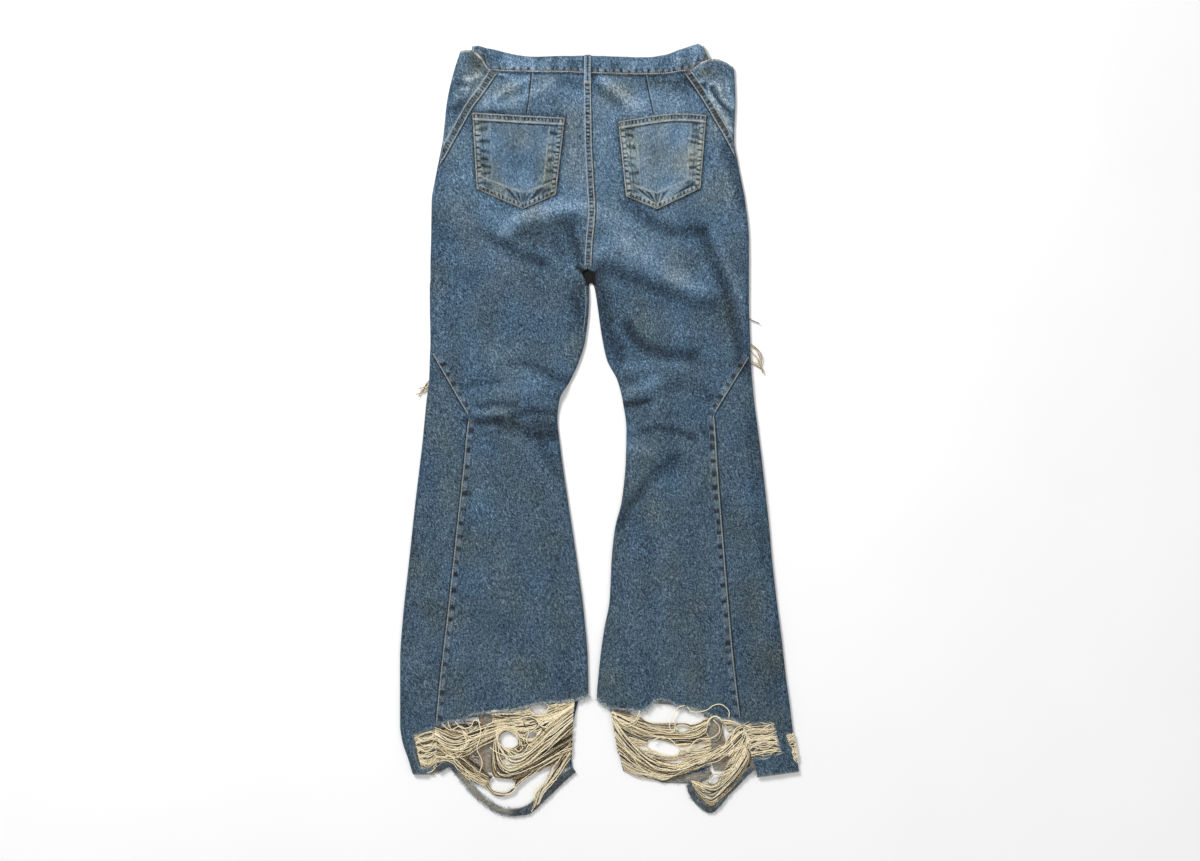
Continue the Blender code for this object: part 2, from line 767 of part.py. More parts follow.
def side_belt_loop(leg, end, loop, finish):
    """A belt loop on the waistband's folded end, seen on its edge."""
    near = end.across + leg.side * (WAISTBAND_THICK / 2 + 2 * SEAM_GAP)
    far = near + leg.side * LOOP_THICK
    lean = RIGHT_END_LEAN / 2 if leg.side > 0 else 0.0
    top, bottom = end.top, end.top + loop.shown
    outline = [(near - lean, top), (far - lean, top), (far + lean, bottom), (near + lean, bottom)]
    return prism(f"belt_loop_{leg.name}", outline, loop.low, loop.high, finish)


def smooth_path(nodes, steps):
    """Points on a smooth curve through the nodes, a few to each stretch."""
    path = []
    for i in range(len(nodes) - 1):
        p0, p1 = nodes[max(i - 1, 0)], nodes[i]
        p2, p3 = nodes[i + 1], nodes[min(i + 2, len(nodes) - 1)]
        for k in range(steps):
            t = k / steps
            point = []
            for a, b, c, d in zip(p0, p1, p2, p3):
                bend = (2 * a - 5 * b + 4 * c - d) * t * t + (3 * b - a - 3 * c + d) * t**3
                point.append(b + ((c - a) * t + bend) / 2)
            path.append(tuple(point))
    path.append(tuple(nodes[-1]))
    return path


def tape(name, nodes, width, thick, finish, squareness=1.0):
    """A crumpled strip of hem, with a rounded section that is flat where it lies."""
    path = smooth_path(nodes, TAPE_STEPS)
    sides = TAPE_SIDES
    points, faces = [], []
    for i, (across, down, middle) in enumerate(path):
        before, after = path[max(i - 1, 0)], path[min(i + 1, len(path) - 1)]
        run_x, run_y = after[0] - before[0], after[1] - before[1]
        length = hypot(run_x, run_y)
        for k in range(sides):
            angle = 2 * pi * (k + 0.5) / sides
            out, up = cos(angle), sin(angle)
            flat = cos(pi / sides) * squareness
            aside = out * width / 2
            height = middle + max(min(up / flat, 1.0), -1.0) * thick / 2
            height = max(height, 0.0)
            points.append(place(across - aside * run_y / length, down + aside * run_x / length, height))
    for i in range(len(path) - 1):
        for k in range(sides):
            a, b = i * sides + k, i * sides + (k + 1) % sides
            faces.append((a, a + sides, b + sides, b))
    faces.append(tuple(range(sides)))
    faces.append(tuple(range((len(path) - 1) * sides, len(path) * sides))[::-1])
    return add_object(name, points, faces, finish)


def button(finish):
    """The waist button, a flat disc under the waistband's front end."""
    turns = [2 * pi * k / BUTTON_SIDES for k in range(BUTTON_SIDES)]
    disc = [(BUTTON_RADIUS * cos(turn), BUTTON_DOWN + BUTTON_RADIUS * sin(turn)) for turn in turns]
    return prism("button", disc, 0.0, BUTTON_THICK, finish)


def build():
    for old in list(bpy.data.objects):
        bpy.data.objects.remove(old)
    denim = material("denim", (0.10, 0.14, 0.19), 0.9)
    pocket_denim = material("pocket_denim", (0.17, 0.22, 0.27), 0.9)
    yarn = material("yarn", (0.58, 0.50, 0.34), 0.95)
    metal = material("button_metal", (0.45, 0.33, 0.2), 0.35, 1.0)

    back_panel(LEFT, LEFT_TORN_EDGE, denim)
    back_panel(RIGHT, RIGHT_TORN_EDGE, denim)
    front_left = front_panel(LEFT, LEFT_POCKET_MOUTH, LEFT_FRONT_TOP, LEFT_HEM, LEFT_UNDER_HEM, denim)
    front_right = front_panel(RIGHT, RIGHT_POCKET_MOUTH, RIGHT_FRONT_TOP, RIGHT_HEM, RIGHT_UNDER_HEM, denim)
    cut(front_left, LEFT_SIDE_WINDOW, UPPER_CUT_LOW, UPPER_CUT_HIGH, "cut_left_side")
    cut(front_right, RIGHT_SIDE_WINDOW, UPPER_CUT_LOW, UPPER_CUT_HIGH, "cut_right_side")
    for number, outline in enumerate(LEFT_UNDER_WINDOWS):
        cut(front_left, outline, UNDER_CUT_LOW, UNDER_CUT_HIGH, f"cut_left_under_{number}")
    for number, outline in enumerate(RIGHT_UNDER_WINDOWS):
        cut(front_right, outline, UNDER_CUT_LOW, UNDER_CUT_HIGH, f"cut_right_under_{number}")

    pocket(LEFT, LEFT_POCKET, LEFT_POCKET_BOW, pocket_denim)
    pocket(RIGHT, RIGHT_POCKET, RIGHT_POCKET_BOW, pocket_denim)
    waistband(denim)
    back_belt_loop(denim)
    side_belt_loop(LEFT, WAISTBAND[0], LEFT_LOOP, denim)
    side_belt_loop(RIGHT, WAISTBAND[-1], RIGHT_LOOP, denim)
    button(metal)
    prism("fly_facing", FLY_OUTLINE, CLOTH + SEAM_GAP, 2 * CLOTH + SEAM_GAP, denim)

    for wall in YARN_WALLS:
        made = prism(wall.name, wall.outline, wall.low, wall.low + YARN_WALL, yarn)
        for number, hole in enumerate(wall.holes):
            cut(made, hole, wall.low - 1, wall.low + YARN_WALL + 1, f"cut_{wall.name}_{number}")
    tape("hem_tape_left", LEFT_HEM_TAPE, HEM_TAPE_WIDTH, HEM_TAPE_THICK, denim)
    tape("hem_tape_right", RIGHT_HEM_TAPE, HEM_TAPE_WIDTH, HEM_TAPE_THICK, denim)
    tape("front_hem_right", FRONT_HEM_RIGHT, FRONT_HEM_WIDTH, CLOTH, denim, FRONT_HEM_SQUEEZE)
    prism("knee_threads_left", LEFT_KNEE_THREADS, THREADS_LOW, THREADS_LOW + THREADS_THICK, yarn)
    prism("knee_threads_right", RIGHT_KNEE_THREADS, THREADS_LOW, THREADS_LOW + THREADS_THICK, yarn)


build()
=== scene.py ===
"""Faded bootcut jeans lying flat, back side up, with worn seams and torn, fringed hems.

Lengths in the tables are millimetres. 'across' runs to the right from the centre-back line, and
'down' runs from the highest point of the waistband towards the hems. Left and right are the wearer's.
"""

from collections import namedtuple
from math import atan2, pi, radians

import bpy
import numpy as np
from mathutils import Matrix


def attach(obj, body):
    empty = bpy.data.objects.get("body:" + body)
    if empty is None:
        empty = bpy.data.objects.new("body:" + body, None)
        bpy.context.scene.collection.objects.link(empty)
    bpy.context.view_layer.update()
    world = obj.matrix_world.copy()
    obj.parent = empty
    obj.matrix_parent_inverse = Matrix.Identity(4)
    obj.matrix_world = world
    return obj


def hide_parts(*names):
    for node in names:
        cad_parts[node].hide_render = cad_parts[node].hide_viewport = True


MM = 0.001

# Driving sizes.
LENGTH = 1197.6
FURTHEST_LEFT = -291.5
FURTHEST_RIGHT = 327.0
CLOTH = 1.2
SEAM_GAP = 0.3
WAISTBAND_THICK = 2.0
LOOP_THICK = 1.6
LOOP_WIDTH = 10.0
LOOP_ACROSS = -0.6
LOOP_HEIGHT = 10.1
BAND_HEIGHT = 5.3
BAND_RISE = 2.6
STRIP_THICK = 0.9
YARN_RADIUS = 0.75
YARN_STEP = 2.3
CRIMP = 7.0
HAIR_RADIUS = 0.42
STITCH_LENGTH = 3.0
STITCH_GAP = 0.8
STITCH_RADIUS = 0.42

# How the two layers lie on each other.
UNDER_HEIGHT = CLOTH / 2
FOLD_MIDDLE = 2.4
FOLD_REACH = 2.4
FOLD_ARC = 3.3
UPPER_HEIGHT = 4.7
LEAST_HEIGHT = 2.9
CROWN = 0.5
CROWN_REACH = 45.0
WINDOW_SNAP = 1.3
UNDER_WINDOW_SNAP = 1.6
FLY_LEFT = -6.0
FLY_DOWN = 198.0
CROTCH_DOWN = 350.0
FOLD_STARTS = 385.0
EDGE_REACH = 55.0
EDGE_STEPS = np.array([0.0, 0.5, 1.2, 2.2, FOLD_ARC])

# The rows and columns of the panels' grids, closer at the waist, the crotch and the hems.
BACK_ROWS = np.concatenate([
    np.arange(43, 55, 2.0),
    np.arange(55, 338, 4.0),
    np.arange(338, 380, 2.1),
    np.arange(380, 1034, 4.2),
    np.arange(1034, 1054.1, 2.0),
])
FRONT_ROWS = np.concatenate([np.arange(43, 1000, 4.0), np.arange(1000, 1128.1, 2.0)])
BACK_COLUMNS = 76
BENEATH_COLUMNS = 30
WRAP_COLUMNS = 32

# Seeds of the random draws that no table gives.
WAISTBAND_SEED = 31
LOOP_SEED = 41
POCKET_SEEDS = (61, 71)
STITCH_SEED = 81
FRINGE_SEED = 101


def table(kind, *rows):
    """Rows with named columns."""
    return [kind(*row) for row in rows]


# The outline: where each leg's fold lies on the outer side, where the upper layer ends on the inner
# side (the centre-back seam, then the inseam), and where the layer under it does.
Edge = namedtuple("Edge", "down outer inner under")
LEFT_LEG = table(
    Edge,
    (9, -197, 0, 0), (43, -208, 0, 0), (87, -218, 0, 0), (149, -225, 2, 0), (180, -231, 4, 0),
    (211, -237, 6, 0), (242, -242, 7, 0), (304, -243, 3, 0), (340, -244, -1, 0), (347, -244, -1, 0),
    (354, -244, -9, 1), (366, -244, -5, 3), (376, -245, 0, 1), (397, -245, 1, 1), (459, -244, -5, -5),
    (490, -245, -14, -14), (521, -246, -28, -28), (552, -250, -45, -45), (583, -253, -48, -48),
    (614, -256, -45, -45), (707, -267, -32, -32), (800, -277, -18, -18), (893, -287, -6, -6),
    (955, -291, -1, -2), (1009, -291, 0, -13), (1056, -291, 0, -24), (1079, -288, 0, -26),
    (1110, -278, 0, -26), (1133, -271, 0, -22),
)
RIGHT_LEG = table(
    Edge,
    (23, 222, 0, 0), (43, 226, 0, 0), (87, 228, 0, 0), (149, 226, 2, 0), (180, 231, 4, 0), (211, 237, 6, 0),
    (242, 243, 7, 0), (304, 249, 3, 0), (340, 249, -1, 0), (347, 249, -1, 0), (354, 249, 7, 2),
    (366, 249, 10, 5), (376, 249, 11, 10), (397, 249, 14, 14), (459, 251, 23, 23), (490, 252, 30, 30),
    (521, 254, 46, 46), (552, 257, 54, 54), (598, 263, 60, 60), (645, 269, 59, 59), (707, 276, 53, 53),
    (753, 281, 42, 42), (800, 285, 37, 37), (862, 292, 34, 34), (924, 300, 23, 24), (986, 307, 16, 24),
    (1014, 311, 14, 32), (1071, 318, 14, 42), (1130, 327, 14, 56),
)

# The outseam: on the upper layer at the hip, on the fold down the thigh, and on the upper layer again
# below the knee, where the front panel wraps round to the back of the calf.
Spot = namedtuple("Spot", "down across")
LEFT_HIP_SEAM = table(Spot, (0, -150), (43, -150), (76, -167), (95, -180), (156, -211), (182, -231))
LEFT_CALF_SEAM = table(
    Spot,
    (466, -244), (575, -184), (679, -193), (792, -206), (910, -220), (1017, -234), (1133, -236),
)
RIGHT_HIP_SEAM = table(Spot, (0, 158), (43, 158), (84, 177), (110, 194), (133, 206), (184, 231))
RIGHT_CALF_SEAM = table(
    Spot,
    (470, 251), (569, 194), (679, 201), (804, 211), (931, 223), (1045, 236), (1092, 251), (1133, 261),
)

# Edges that run across the body, read as the distance down at each place across.
Rim = namedtuple("Rim", "across down")
LEFT_POCKET_MOUTH = table(
    Rim,
    (-198, 11), (-189, 9), (-179, 10), (-171, 16.5), (-163, 25.5), (-157, 36), (-150, 41.3),
)
RIGHT_POCKET_MOUTH = table(
    Rim,
    (158, 41.3), (166, 36), (174, 29), (188, 24), (201, 24), (214, 29), (225, 36),
)
LEFT_FRONT_TOP = table(Rim, (-198, 11), (-175, 30), (-150, 54), (-112, 61), (0, 63))
RIGHT_FRONT_TOP = table(Rim, (0, 63), (120, 65), (158, 55), (190, 46), (225, 36))
LEFT_TORN_EDGE = table(
    Rim,
    (-236, 1054), (-214, 1049), (-194, 1048), (-178, 1038), (-157, 1036.5), (-117, 1031.5), (-97, 1027.5),
    (-87, 1023.5), (-64, 1021.5), (-20, 1016.5), (0, 1008.5),
)
RIGHT_TORN_EDGE = table(
    Rim,
    (14, 1015), (31, 1028), (73, 1033), (88, 1032), (103, 1018.5), (114, 1015), (128, 1019.5), (136, 1025),
    (165, 1031), (180, 1034), (200, 1047), (216, 1044), (238, 1054),
)
LEFT_HEM = table(Rim, (-272, 1132), (-252, 1133), (-236, 1120))
LEFT_UNDER_HEM = table(Rim, (-272, 1132), (-186, 1130), (-20, 1122))
RIGHT_HEM = table(Rim, (240, 1137), (262, 1137), (300, 1132), (327, 1128))
RIGHT_UNDER_HEM = table(Rim, (40, 1128), (327, 1126))

# The waistband's two long edges on the back, from its left end to its right one.
Band = namedtuple("Band", "across top bottom")
WAISTBAND = table(
    Band,
    (-177, 3, 9), (-171, 3, 13.5), (-163, 5, 22), (-157, 7, 33), (-150, 8, 41), (-112, 17, 43),
    (-85, 20, 43.5), (-45, 19, 44), (0, 19, 46), (50, 20, 47), (90, 21, 47.5), (120, 17, 46.5),
    (142, 9, 43), (158, 4, 41), (164, 2, 35), (174, 0, 26.5), (181, 3, 23),
)
RIGHT_END_LEAN = 10.0
FRONT_DIP = 15.0

# The largest folds of the upper layer: a soft ridge from one end to the other. Heights below zero
# are troughs.
Fold = namedtuple("Fold", "across down to_across to_down width height")
FOLDS = table(
    Fold,
    (0, 44, 0, 80, 75, 3.0), (-178, 24, -168, 40, 34, 2.7), (190, 30, 178, 44, 36, 2.7),
    (-125, 300, -20, 250, 40, 3.0), (-150, 305, -30, 345, 34, -1.2), (15, 300, 80, 260, 42, 2.6),
    (85, 255, 190, 330, 36, -1.4), (-125, 500, -45, 540, 26, 3.2), (-190, 545, -60, 560, 22, 2.6),
    (-175, 590, -60, 585, 22, -1.2), (60, 455, 150, 490, 26, -1.3), (45, 500, 150, 505, 26, 3.2),
    (65, 550, 130, 520, 24, 2.4), (190, 330, 225, 480, 36, 2.2),
)

# Creases: the line that each follows, how far it reaches to either side, how much it lifts the cloth,
# and how much paler (above 0) or darker (below 0) the cloth is along it: partly the dye worn on the
# ridges, and partly painted light and shade of the fold.
Crease = namedtuple("Crease", "path width height tone")
CREASES = table(
    Crease,
    # the left thigh
    ([(-130, 292), (-108, 271), (-80, 260), (-44, 254), (-14, 252)], 21, 1.5, 1.05),
    ([(-45, 272), (-28, 272)], 22, -0.9, -0.8),
    ([(-105, 290), (-62, 288), (-45, 320)], 24, -0.7, -0.5),
    ([(-150, 300), (-134, 308), (-115, 320), (-95, 332), (-70, 338)], 16, -1.4, -1.0),
    ([(-28, 286), (-20, 312), (-11, 338)], 14, -1.0, -1.1),
    ([(-52, 372), (-38, 356), (-22, 342)], 6, 0.5, 0.45),
    ([(-75, 336), (-50, 356)], 15, -0.6, -0.4),
    ([(-12, 378), (-16, 400), (-14, 430)], 20, -0.3, -0.8),
    ([(-235, 262), (-228, 292), (-200, 300)], 29, -0.5, -0.45),
    ([(-235, 330), (-205, 352), (-180, 365)], 21, -0.4, -0.2),
    # the right thigh
    ([(20, 316), (52, 312), (95, 338), (135, 362), (172, 386)], 31, 1.6, 1.05),
    ([(18, 268), (60, 292), (120, 318)], 36, 0.8, 0.65),
    ([(62, 248), (80, 262), (102, 278), (130, 290), (160, 288), (178, 288)], 18, -1.4, -0.95),
    ([(178, 290), (186, 318), (200, 348), (213, 380), (222, 415), (232, 455), (240, 505)], 17, -1.4, -0.95),
    ([(196, 290), (210, 330), (226, 365), (236, 400)], 16, 1.0, 0.5),
    ([(26, 346), (60, 360), (100, 374), (140, 388), (192, 402)], 21, -1.3, -0.95),
    ([(14, 352), (20, 395), (30, 440), (50, 490)], 22, -0.5, -0.85),
    ([(120, 410), (150, 440)], 36, 0.4, 0.2),
    # the left knee
    ([(-135, 497), (-104, 494), (-78, 500), (-56, 514), (-34, 522)], 12, -1.4, -0.8),
    ([(-196, 531), (-163, 525), (-136, 524)], 8, -0.9, -0.6),
    ([(-170, 561), (-140, 557), (-112, 560)], 8, -1.0, -0.8),
    ([(-188, 583), (-160, 586), (-136, 582)], 10, -1.5, -1.5),
    ([(-118, 578), (-90, 568), (-52, 572)], 10, -1.2, -1.0),
    ([(-134, 588), (-100, 594), (-54, 592)], 19, -1.0, -1.0),
    ([(-92, 606), (-52, 607)], 12, -1.0, -1.2),
    ([(-150, 482), (-112, 512)], 21, 1.0, 0.35),
    ([(-130, 534), (-80, 530)], 24, 0.9, 0.5),
    ([(-170, 571), (-130, 570)], 8, 0.8, 0.5),
    ([(-76, 612), (-62, 640), (-47, 664)], 14, -0.6, -0.7),
    ([(-100, 628), (-64, 680), (-48, 706)], 9, 0.4, 0.25),
    # the right knee
    ([(62, 436), (70, 454), (88, 468), (110, 478), (136, 481), (162, 483)], 16, -1.5, -1.15),
    ([(60, 498), (100, 500), (150, 502)], 15, 0.9, 0.35),
    ([(60, 543), (94, 527), (113, 519)], 14, 1.1, 0.6),
    ([(58, 559), (94, 553)], 9, -1.2, -1.35),
    ([(86, 600), (112, 594), (140, 600), (166, 611)], 10, -1.2, -1.0),
    ([(178, 600), (196, 612)], 10, -0.6, -0.45),
    ([(50, 746), (66, 714), (92, 680), (114, 656), (138, 640)], 15, -1.0, -0.8),
    ([(130, 530), (170, 536)], 15, -0.6, -0.4),
    ([(182, 540), (196, 552)], 14, -0.5, -0.5),
    ([(58, 620), (92, 632)], 18, 0.6, 0.45),
    # the hips
    ([(-176, 22), (-160, 44)], 20, -0.5, -1.2),
    ([(-192, 62), (-162, 54)], 10, 0.8, 0.9),
    ([(-214, 100), (-196, 96)], 16, -0.8, -0.9),
    ([(-176, 84), (-168, 72)], 14, 0.6, 0.7),
    ([(-160, 96), (-122, 66), (-92, 54)], 10, 0.9, 0.85),
    ([(-135, 86), (-104, 70)], 9, -0.7, -0.55),
    ([(-140, 98), (-96, 82), (-60, 62)], 12, 0.8, 0.65),
    ([(-96, 97), (-50, 90)], 20, -0.4, -0.4),
    ([(-40, 58), (-12, 62)], 18, -0.6, -0.9),
    ([(6, 50), (10, 64), (28, 76), (48, 92)], 14, -0.9, -1.1),
    ([(20, 56), (46, 72), (76, 96)], 20, 0.9, 0.8),
    ([(92, 58), (132, 62), (150, 66)], 20, -0.7, -0.65),
    ([(60, 92), (104, 86), (140, 94)], 20, 0.6, 0.5),
    ([(152, 56), (176, 72)], 22, -0.7, -1.15),
    ([(186, 30), (214, 40)], 15, -0.5, -0.5),
    ([(184, 74), (214, 104)], 16, 0.6, 0.6),
    ([(200, 130), (214, 140)], 18, 0.3, 0.4),
    ([(212, 158), (226, 200), (238, 245)], 16, -0.5, -0.95),
    ([(-228, 180), (-228, 230)], 20, -0.3, -0.4),
    ([(-152, 103), (-42, 107)], 6, -0.5, -0.8),
    # soft waves down the calves
    ([(-150, 700), (-120, 860), (-112, 1000)], 26, 0.7, 0.1),
    ([(-75, 690), (-52, 850), (-40, 990)], 20, -0.6, -0.15),
    ([(110, 690), (120, 860), (118, 1000)], 26, 0.7, 0.12),
    ([(165, 740), (176, 900), (180, 1010)], 20, -0.6, -0.12),
    ([(-255, 800), (-262, 960)], 14, 0.5, 0.1),
    ([(250, 560), (262, 700), (272, 800)], 13, -0.4, -0.45),
)

# Broad worn, dark or stained places. 'stain' turns the dye towards olive brown.
Patch = namedtuple("Patch", "across down wide long tone stain")
PATCHES = table(
    Patch,
    (-40, 278, 26, 18, 0.0, 0.4), (-21, 314, 15, 17, 0.0, 0.4), (-115, 346, 40, 32, 0.05, 0.3),
    (-100, 520, 44, 34, 0.35, 0.0), (-47, 548, 9, 9, -0.5, 0.4), (60, 500, 30, 14, 0.25, 0.0),
    (66, 520, 14, 10, -0.6, 0.2), (74, 630, 20, 12, 0.3, 0.0), (-60, 650, 24, 24, 0.0, 0.3),
    (56, 700, 26, 40, 0.0, 0.3), (0, 54, 12, 12, -1.0, 0.0), (-171, 28, 18, 24, 0.0, 0.9),
    (-196, 72, 34, 70, -0.6, 0.3), (208, 90, 26, 60, -0.3, 0.35), (-100, 300, 60, 20, -0.1, 0.2),
    (-128, 70, 30, 16, 0.0, 0.5), (42, 76, 38, 22, 0.0, 0.5), (104, 60, 30, 12, 0.0, 0.5),
    (183, 44, 16, 12, -0.5, 0.8), (214, 70, 14, 26, 0.3, 0.1), (-18, 140, 22, 60, 0.0, 0.25),
    (22, 150, 16, 44, 0.35, 0.2), (-8, 225, 16, 40, 0.3, 0.0), (-150, 268, 70, 20, 0.25, 0.0),
    (-205, 200, 26, 60, 0.0, 0.2), (205, 200, 20, 60, 0.1, 0.2), (-255, 870, 22, 30, -0.15, 0.3),
    (-250, 732, 9, 9, -0.6, 0.2), (-268, 790, 14, 40, -0.25, 0.2), (285, 990, 34, 70, -0.45, 0.2),
    (240, 900, 34, 120, -0.15, 0.1), (52, 1030, 9, 8, -1.0, 0.0), (150, 880, 60, 120, 0.05, 0.15),
)
# How the dye fades from the waist to the hem.
Shade = namedtuple("Shade", "down tone stain")
FADE = table(
    Shade,
    (40, 0.85, 0.1), (110, 0.7, 0.15), (200, 0.65, 0.15), (255, 0.5, 0.1), (300, 0.2, 0.12),
    (420, 0.05, 0.18), (520, 0.15, 0.12), (640, 0.1, 0.28), (1130, 0.05, 0.34),
)
# What differs on the pockets and on the waistband.
LEFT_POCKET_PATCHES = table(
    Patch,
    (-165, 181, 13, 9, -1.0, 0.0), (-163, 152, 12, 7, -0.4, 0.0), (-112, 165, 40, 46, -0.2, 0.0),
    (-58, 170, 12, 40, 0.35, 0.1), (-128, 208, 30, 12, -0.25, 0.0),
)
RIGHT_POCKET_PATCHES = table(
    Patch,
    (162, 172, 15, 18, 0.7, 0.0), (64, 168, 14, 22, 0.35, 0.0), (66, 136, 15, 10, -0.6, 0.0),
    (168, 142, 12, 6, -0.5, 0.0), (84, 196, 20, 7, -0.4, 0.0), (110, 160, 34, 30, -0.15, 0.3),
)
# On the waistband, the dark patches towards its two ends are painted shade.
WAIST_PATCHES = table(
    Patch,
    (-166, 24, 15, 18, -1.2, 0.3), (-146, 30, 10, 18, -0.5, 0.1), (-18, 34, 15, 18, -0.9, 0.0),
    (14, 36, 9, 16, -0.8, 0.0), (-95, 30, 40, 12, 0.2, 0.0), (60, 34, 34, 12, 0.15, 0.0),
    (150, 32, 22, 10, -0.5, 0.3), (172, 12, 14, 10, 0.3, 0.0),
)
# The dark gap at the crotch, between the legs' edges, where the 'shade' mark paints shadow.
CROTCH_GAP = [(-18, 344), (0, 352), (11, 353), (12, 373), (-4, 373), (-1, 361), (-17, 349)]
# The wear of the hidden front: the thighs and the knees, on either side.
FRONT_PATCHES = table(
    Patch,
    (125, 330, 70, 170, 0.6, 0.0), (115, 560, 70, 60, 0.7, 0.0), (60, 230, 60, 12, 0.35, 0.0),
    (70, 262, 60, 10, 0.35, 0.0),
)

# Patch pockets: the four upper and lower corners and the point, clockwise from the upper left, and how
# far the top edge bows up.
LEFT_POCKET = table(Rim, (-179, 107), (-36, 115), (-50, 234), (-101, 256), (-172, 225))
RIGHT_POCKET = table(Rim, (47, 121), (183, 111), (174, 224), (107, 256), (59, 236))
POCKET_OUTLINES = [[tuple(corner) for corner in corners] for corners in (LEFT_POCKET, RIGHT_POCKET)]
LEFT_POCKET_BOW = 0.0
RIGHT_POCKET_BOW = 6.0
POCKET_SLACK = 0.4

# Thin lines along small creases: where the tone rises the crest is partly worn and partly painted
# highlight, and where it falls it is painted shade.
Streak = namedtuple("Streak", "path wide tone")
STREAKS = table(
    Streak,
    ([(174, 59), (190, 61), (202, 66)], 2.8, 2.0),
    ([(172, 63), (188, 65), (199, 71)], 2.2, -2.2),
    ([(185, 72), (197, 92), (211, 116), (223, 138)], 3.6, 1.8),
    ([(191, 72), (207, 93), (220, 106)], 2.6, -2.0),
    ([(203, 62), (206, 80), (214, 90), (224, 97)], 3.8, 1.4),
    ([(197, 104), (211, 128), (228, 147)], 2.6, -2.0),
    ([(216, 60), (219, 80), (228, 96)], 3.4, 1.1),
    ([(-191, 56), (-165, 47)], 3.4, 1.6),
    ([(-213, 67), (-190, 62), (-166, 56)], 2.6, -1.6),
    ([(-208, 75), (-184, 67)], 3.2, 1.2),
    ([(-216, 96), (-202, 84), (-188, 76)], 3.0, 1.0),
    ([(-141, 45), (-128, 49), (-114, 55)], 2.4, 1.2),
    ([(-140, 50), (-127, 54)], 2.0, -1.4),
    ([(139, 62), (130, 58), (118, 60)], 2.2, -1.2),
    ([(168, 80), (160, 70), (148, 64)], 2.4, 1.0),
    ([(-30, 118), (-22, 150), (-24, 190)], 3.0, 0.3),
)

# Torn windows, whose outlines run round the missing cloth.
LEFT_SIDE_WINDOW = [(-270, 1071), (-237, 1060), (-229, 1060), (-229, 1121), (-259, 1124), (-268, 1102)]
RIGHT_SIDE_WINDOW = [(236, 1053), (287, 1053), (298, 1099), (257, 1107), (246, 1092)]
RIGHT_CORNER_WINDOW = [(332, 1067), (308, 1070), (309, 1078), (316, 1092), (320, 1109), (334, 1109)]
LEFT_UNDER_WINDOWS = [
    [(-228, 1056), (-172, 1043), (-170, 1145), (-232, 1145)],
    [(-143, 1038), (-90, 1024), (-44, 1024), (-40, 1145), (-145, 1145)],
]
RIGHT_UNDER_WINDOWS = [
    [(66, 1036), (80, 1029), (94, 1017), (102, 1023), (148, 1026), (186, 1044), (192, 1145), (63, 1145)],
    [(206, 1056), (234, 1060), (246, 1108), (229, 1112), (212, 1102)],
]

# Bundles of bare crosswise yarns: the first and the last yarn's line, how many there are, their lowest
# and highest middles, how far they stray, and how warm and pale they are.
Bundle = namedtuple("Bundle", "first last count low high stray tint")
LEFT_SIDE_YARNS = table(
    Bundle,
    ([(-271, 1069), (-255, 1068), (-235, 1061)], [(-259, 1122), (-248, 1124), (-234, 1119)], 46, 3.4, 5.6,
     0.9, 1.15),
)
LEFT_BACK_YARNS = table(
    Bundle,
    ([(-237, 1059), (-222, 1066), (-206, 1072), (-190, 1068), (-172, 1064), (-150, 1056), (-120, 1050),
     (-80, 1046), (-50, 1034), (-21, 1019)], [(-236, 1086), (-220, 1098), (-204, 1102), (-188, 1098),
     (-170, 1086), (-148, 1076), (-127, 1068), (-106, 1078), (-84, 1080), (-52, 1056), (-22, 1032)], 44,
     3.6, 6.4, 3.5, 0.7),
    ([(-237, 1062), (-224, 1076), (-208, 1084), (-192, 1082), (-186, 1072), (-196, 1062)], [(-237, 1106),
     (-222, 1108), (-206, 1104), (-194, 1096), (-188, 1084), (-192, 1070)], 22, 3.6, 6.2, 3.0, 0.6),
    ([(-22, 1024), (-56, 1048), (-76, 1072), (-90, 1084), (-106, 1080), (-122, 1060), (-140, 1050)],
     [(-23, 1050), (-66, 1087), (-97, 1114), (-121, 1123), (-135, 1112), (-142, 1090), (-142, 1064)], 30,
     3.6, 6.2, 3.5, 0.7),
    ([(-23, 1054), (-66, 1090), (-97, 1114), (-121, 1122), (-135, 1114), (-143, 1092), (-143, 1070)],
     [(-25, 1102), (-60, 1118), (-95, 1133), (-127, 1142), (-145, 1137), (-149, 1114), (-146, 1082)], 38,
     3.2, 6.0, 3.5, 0.6),
    ([(-150, 1033), (-120, 1029), (-96, 1026), (-76, 1023), (-55, 1021), (-21, 1014)], [(-148, 1054),
     (-122, 1060), (-92, 1060), (-60, 1052), (-23, 1036)], 30, 3.0, 5.6, 3.0, 0.6),
    ([(-160, 1140), (-149, 1153), (-137, 1158), (-125, 1156), (-113, 1142), (-97, 1130), (-76, 1114),
     (-50, 1096), (-27, 1078)], [(-163, 1146), (-151, 1161), (-137, 1166), (-122, 1163), (-107, 1149),
     (-92, 1137), (-70, 1121), (-46, 1106), (-27, 1094)], 12, 2.4, 4.6, 2.0, 0.8),
    ([(-27, 1082), (-46, 1112), (-64, 1140), (-78, 1162), (-86, 1186)], [(-27, 1108), (-40, 1126),
     (-54, 1144), (-66, 1160), (-76, 1178)], 17, 2.2, 5.0, 2.5, 0.65),
    ([(-236, 1096), (-212, 1093), (-190, 1107), (-168, 1122), (-148, 1136)], [(-235, 1114), (-214, 1113),
     (-196, 1129), (-176, 1143), (-160, 1152)], 34, 3.2, 5.6, 3.0, 0.3),
    ([(-216, 1050), (-212, 1060), (-198, 1064), (-184, 1072), (-169, 1072), (-160, 1060), (-153, 1052),
     (-131, 1046), (-121, 1044)], [(-218, 1052), (-210, 1064), (-196, 1068), (-182, 1075), (-168, 1074),
     (-157, 1062), (-150, 1055), (-131, 1049), (-119, 1047)], 3, 6.0, 7.0, 1.0, 0.95),
)
LEFT_FRONT_OUTER_YARNS = table(
    Bundle,
    ([(-230, 1060), (-208, 1055), (-170, 1048)], [(-230, 1104), (-208, 1104), (-170, 1122)], 34, 0.7, 1.9,
     2.5, 0.35),
)
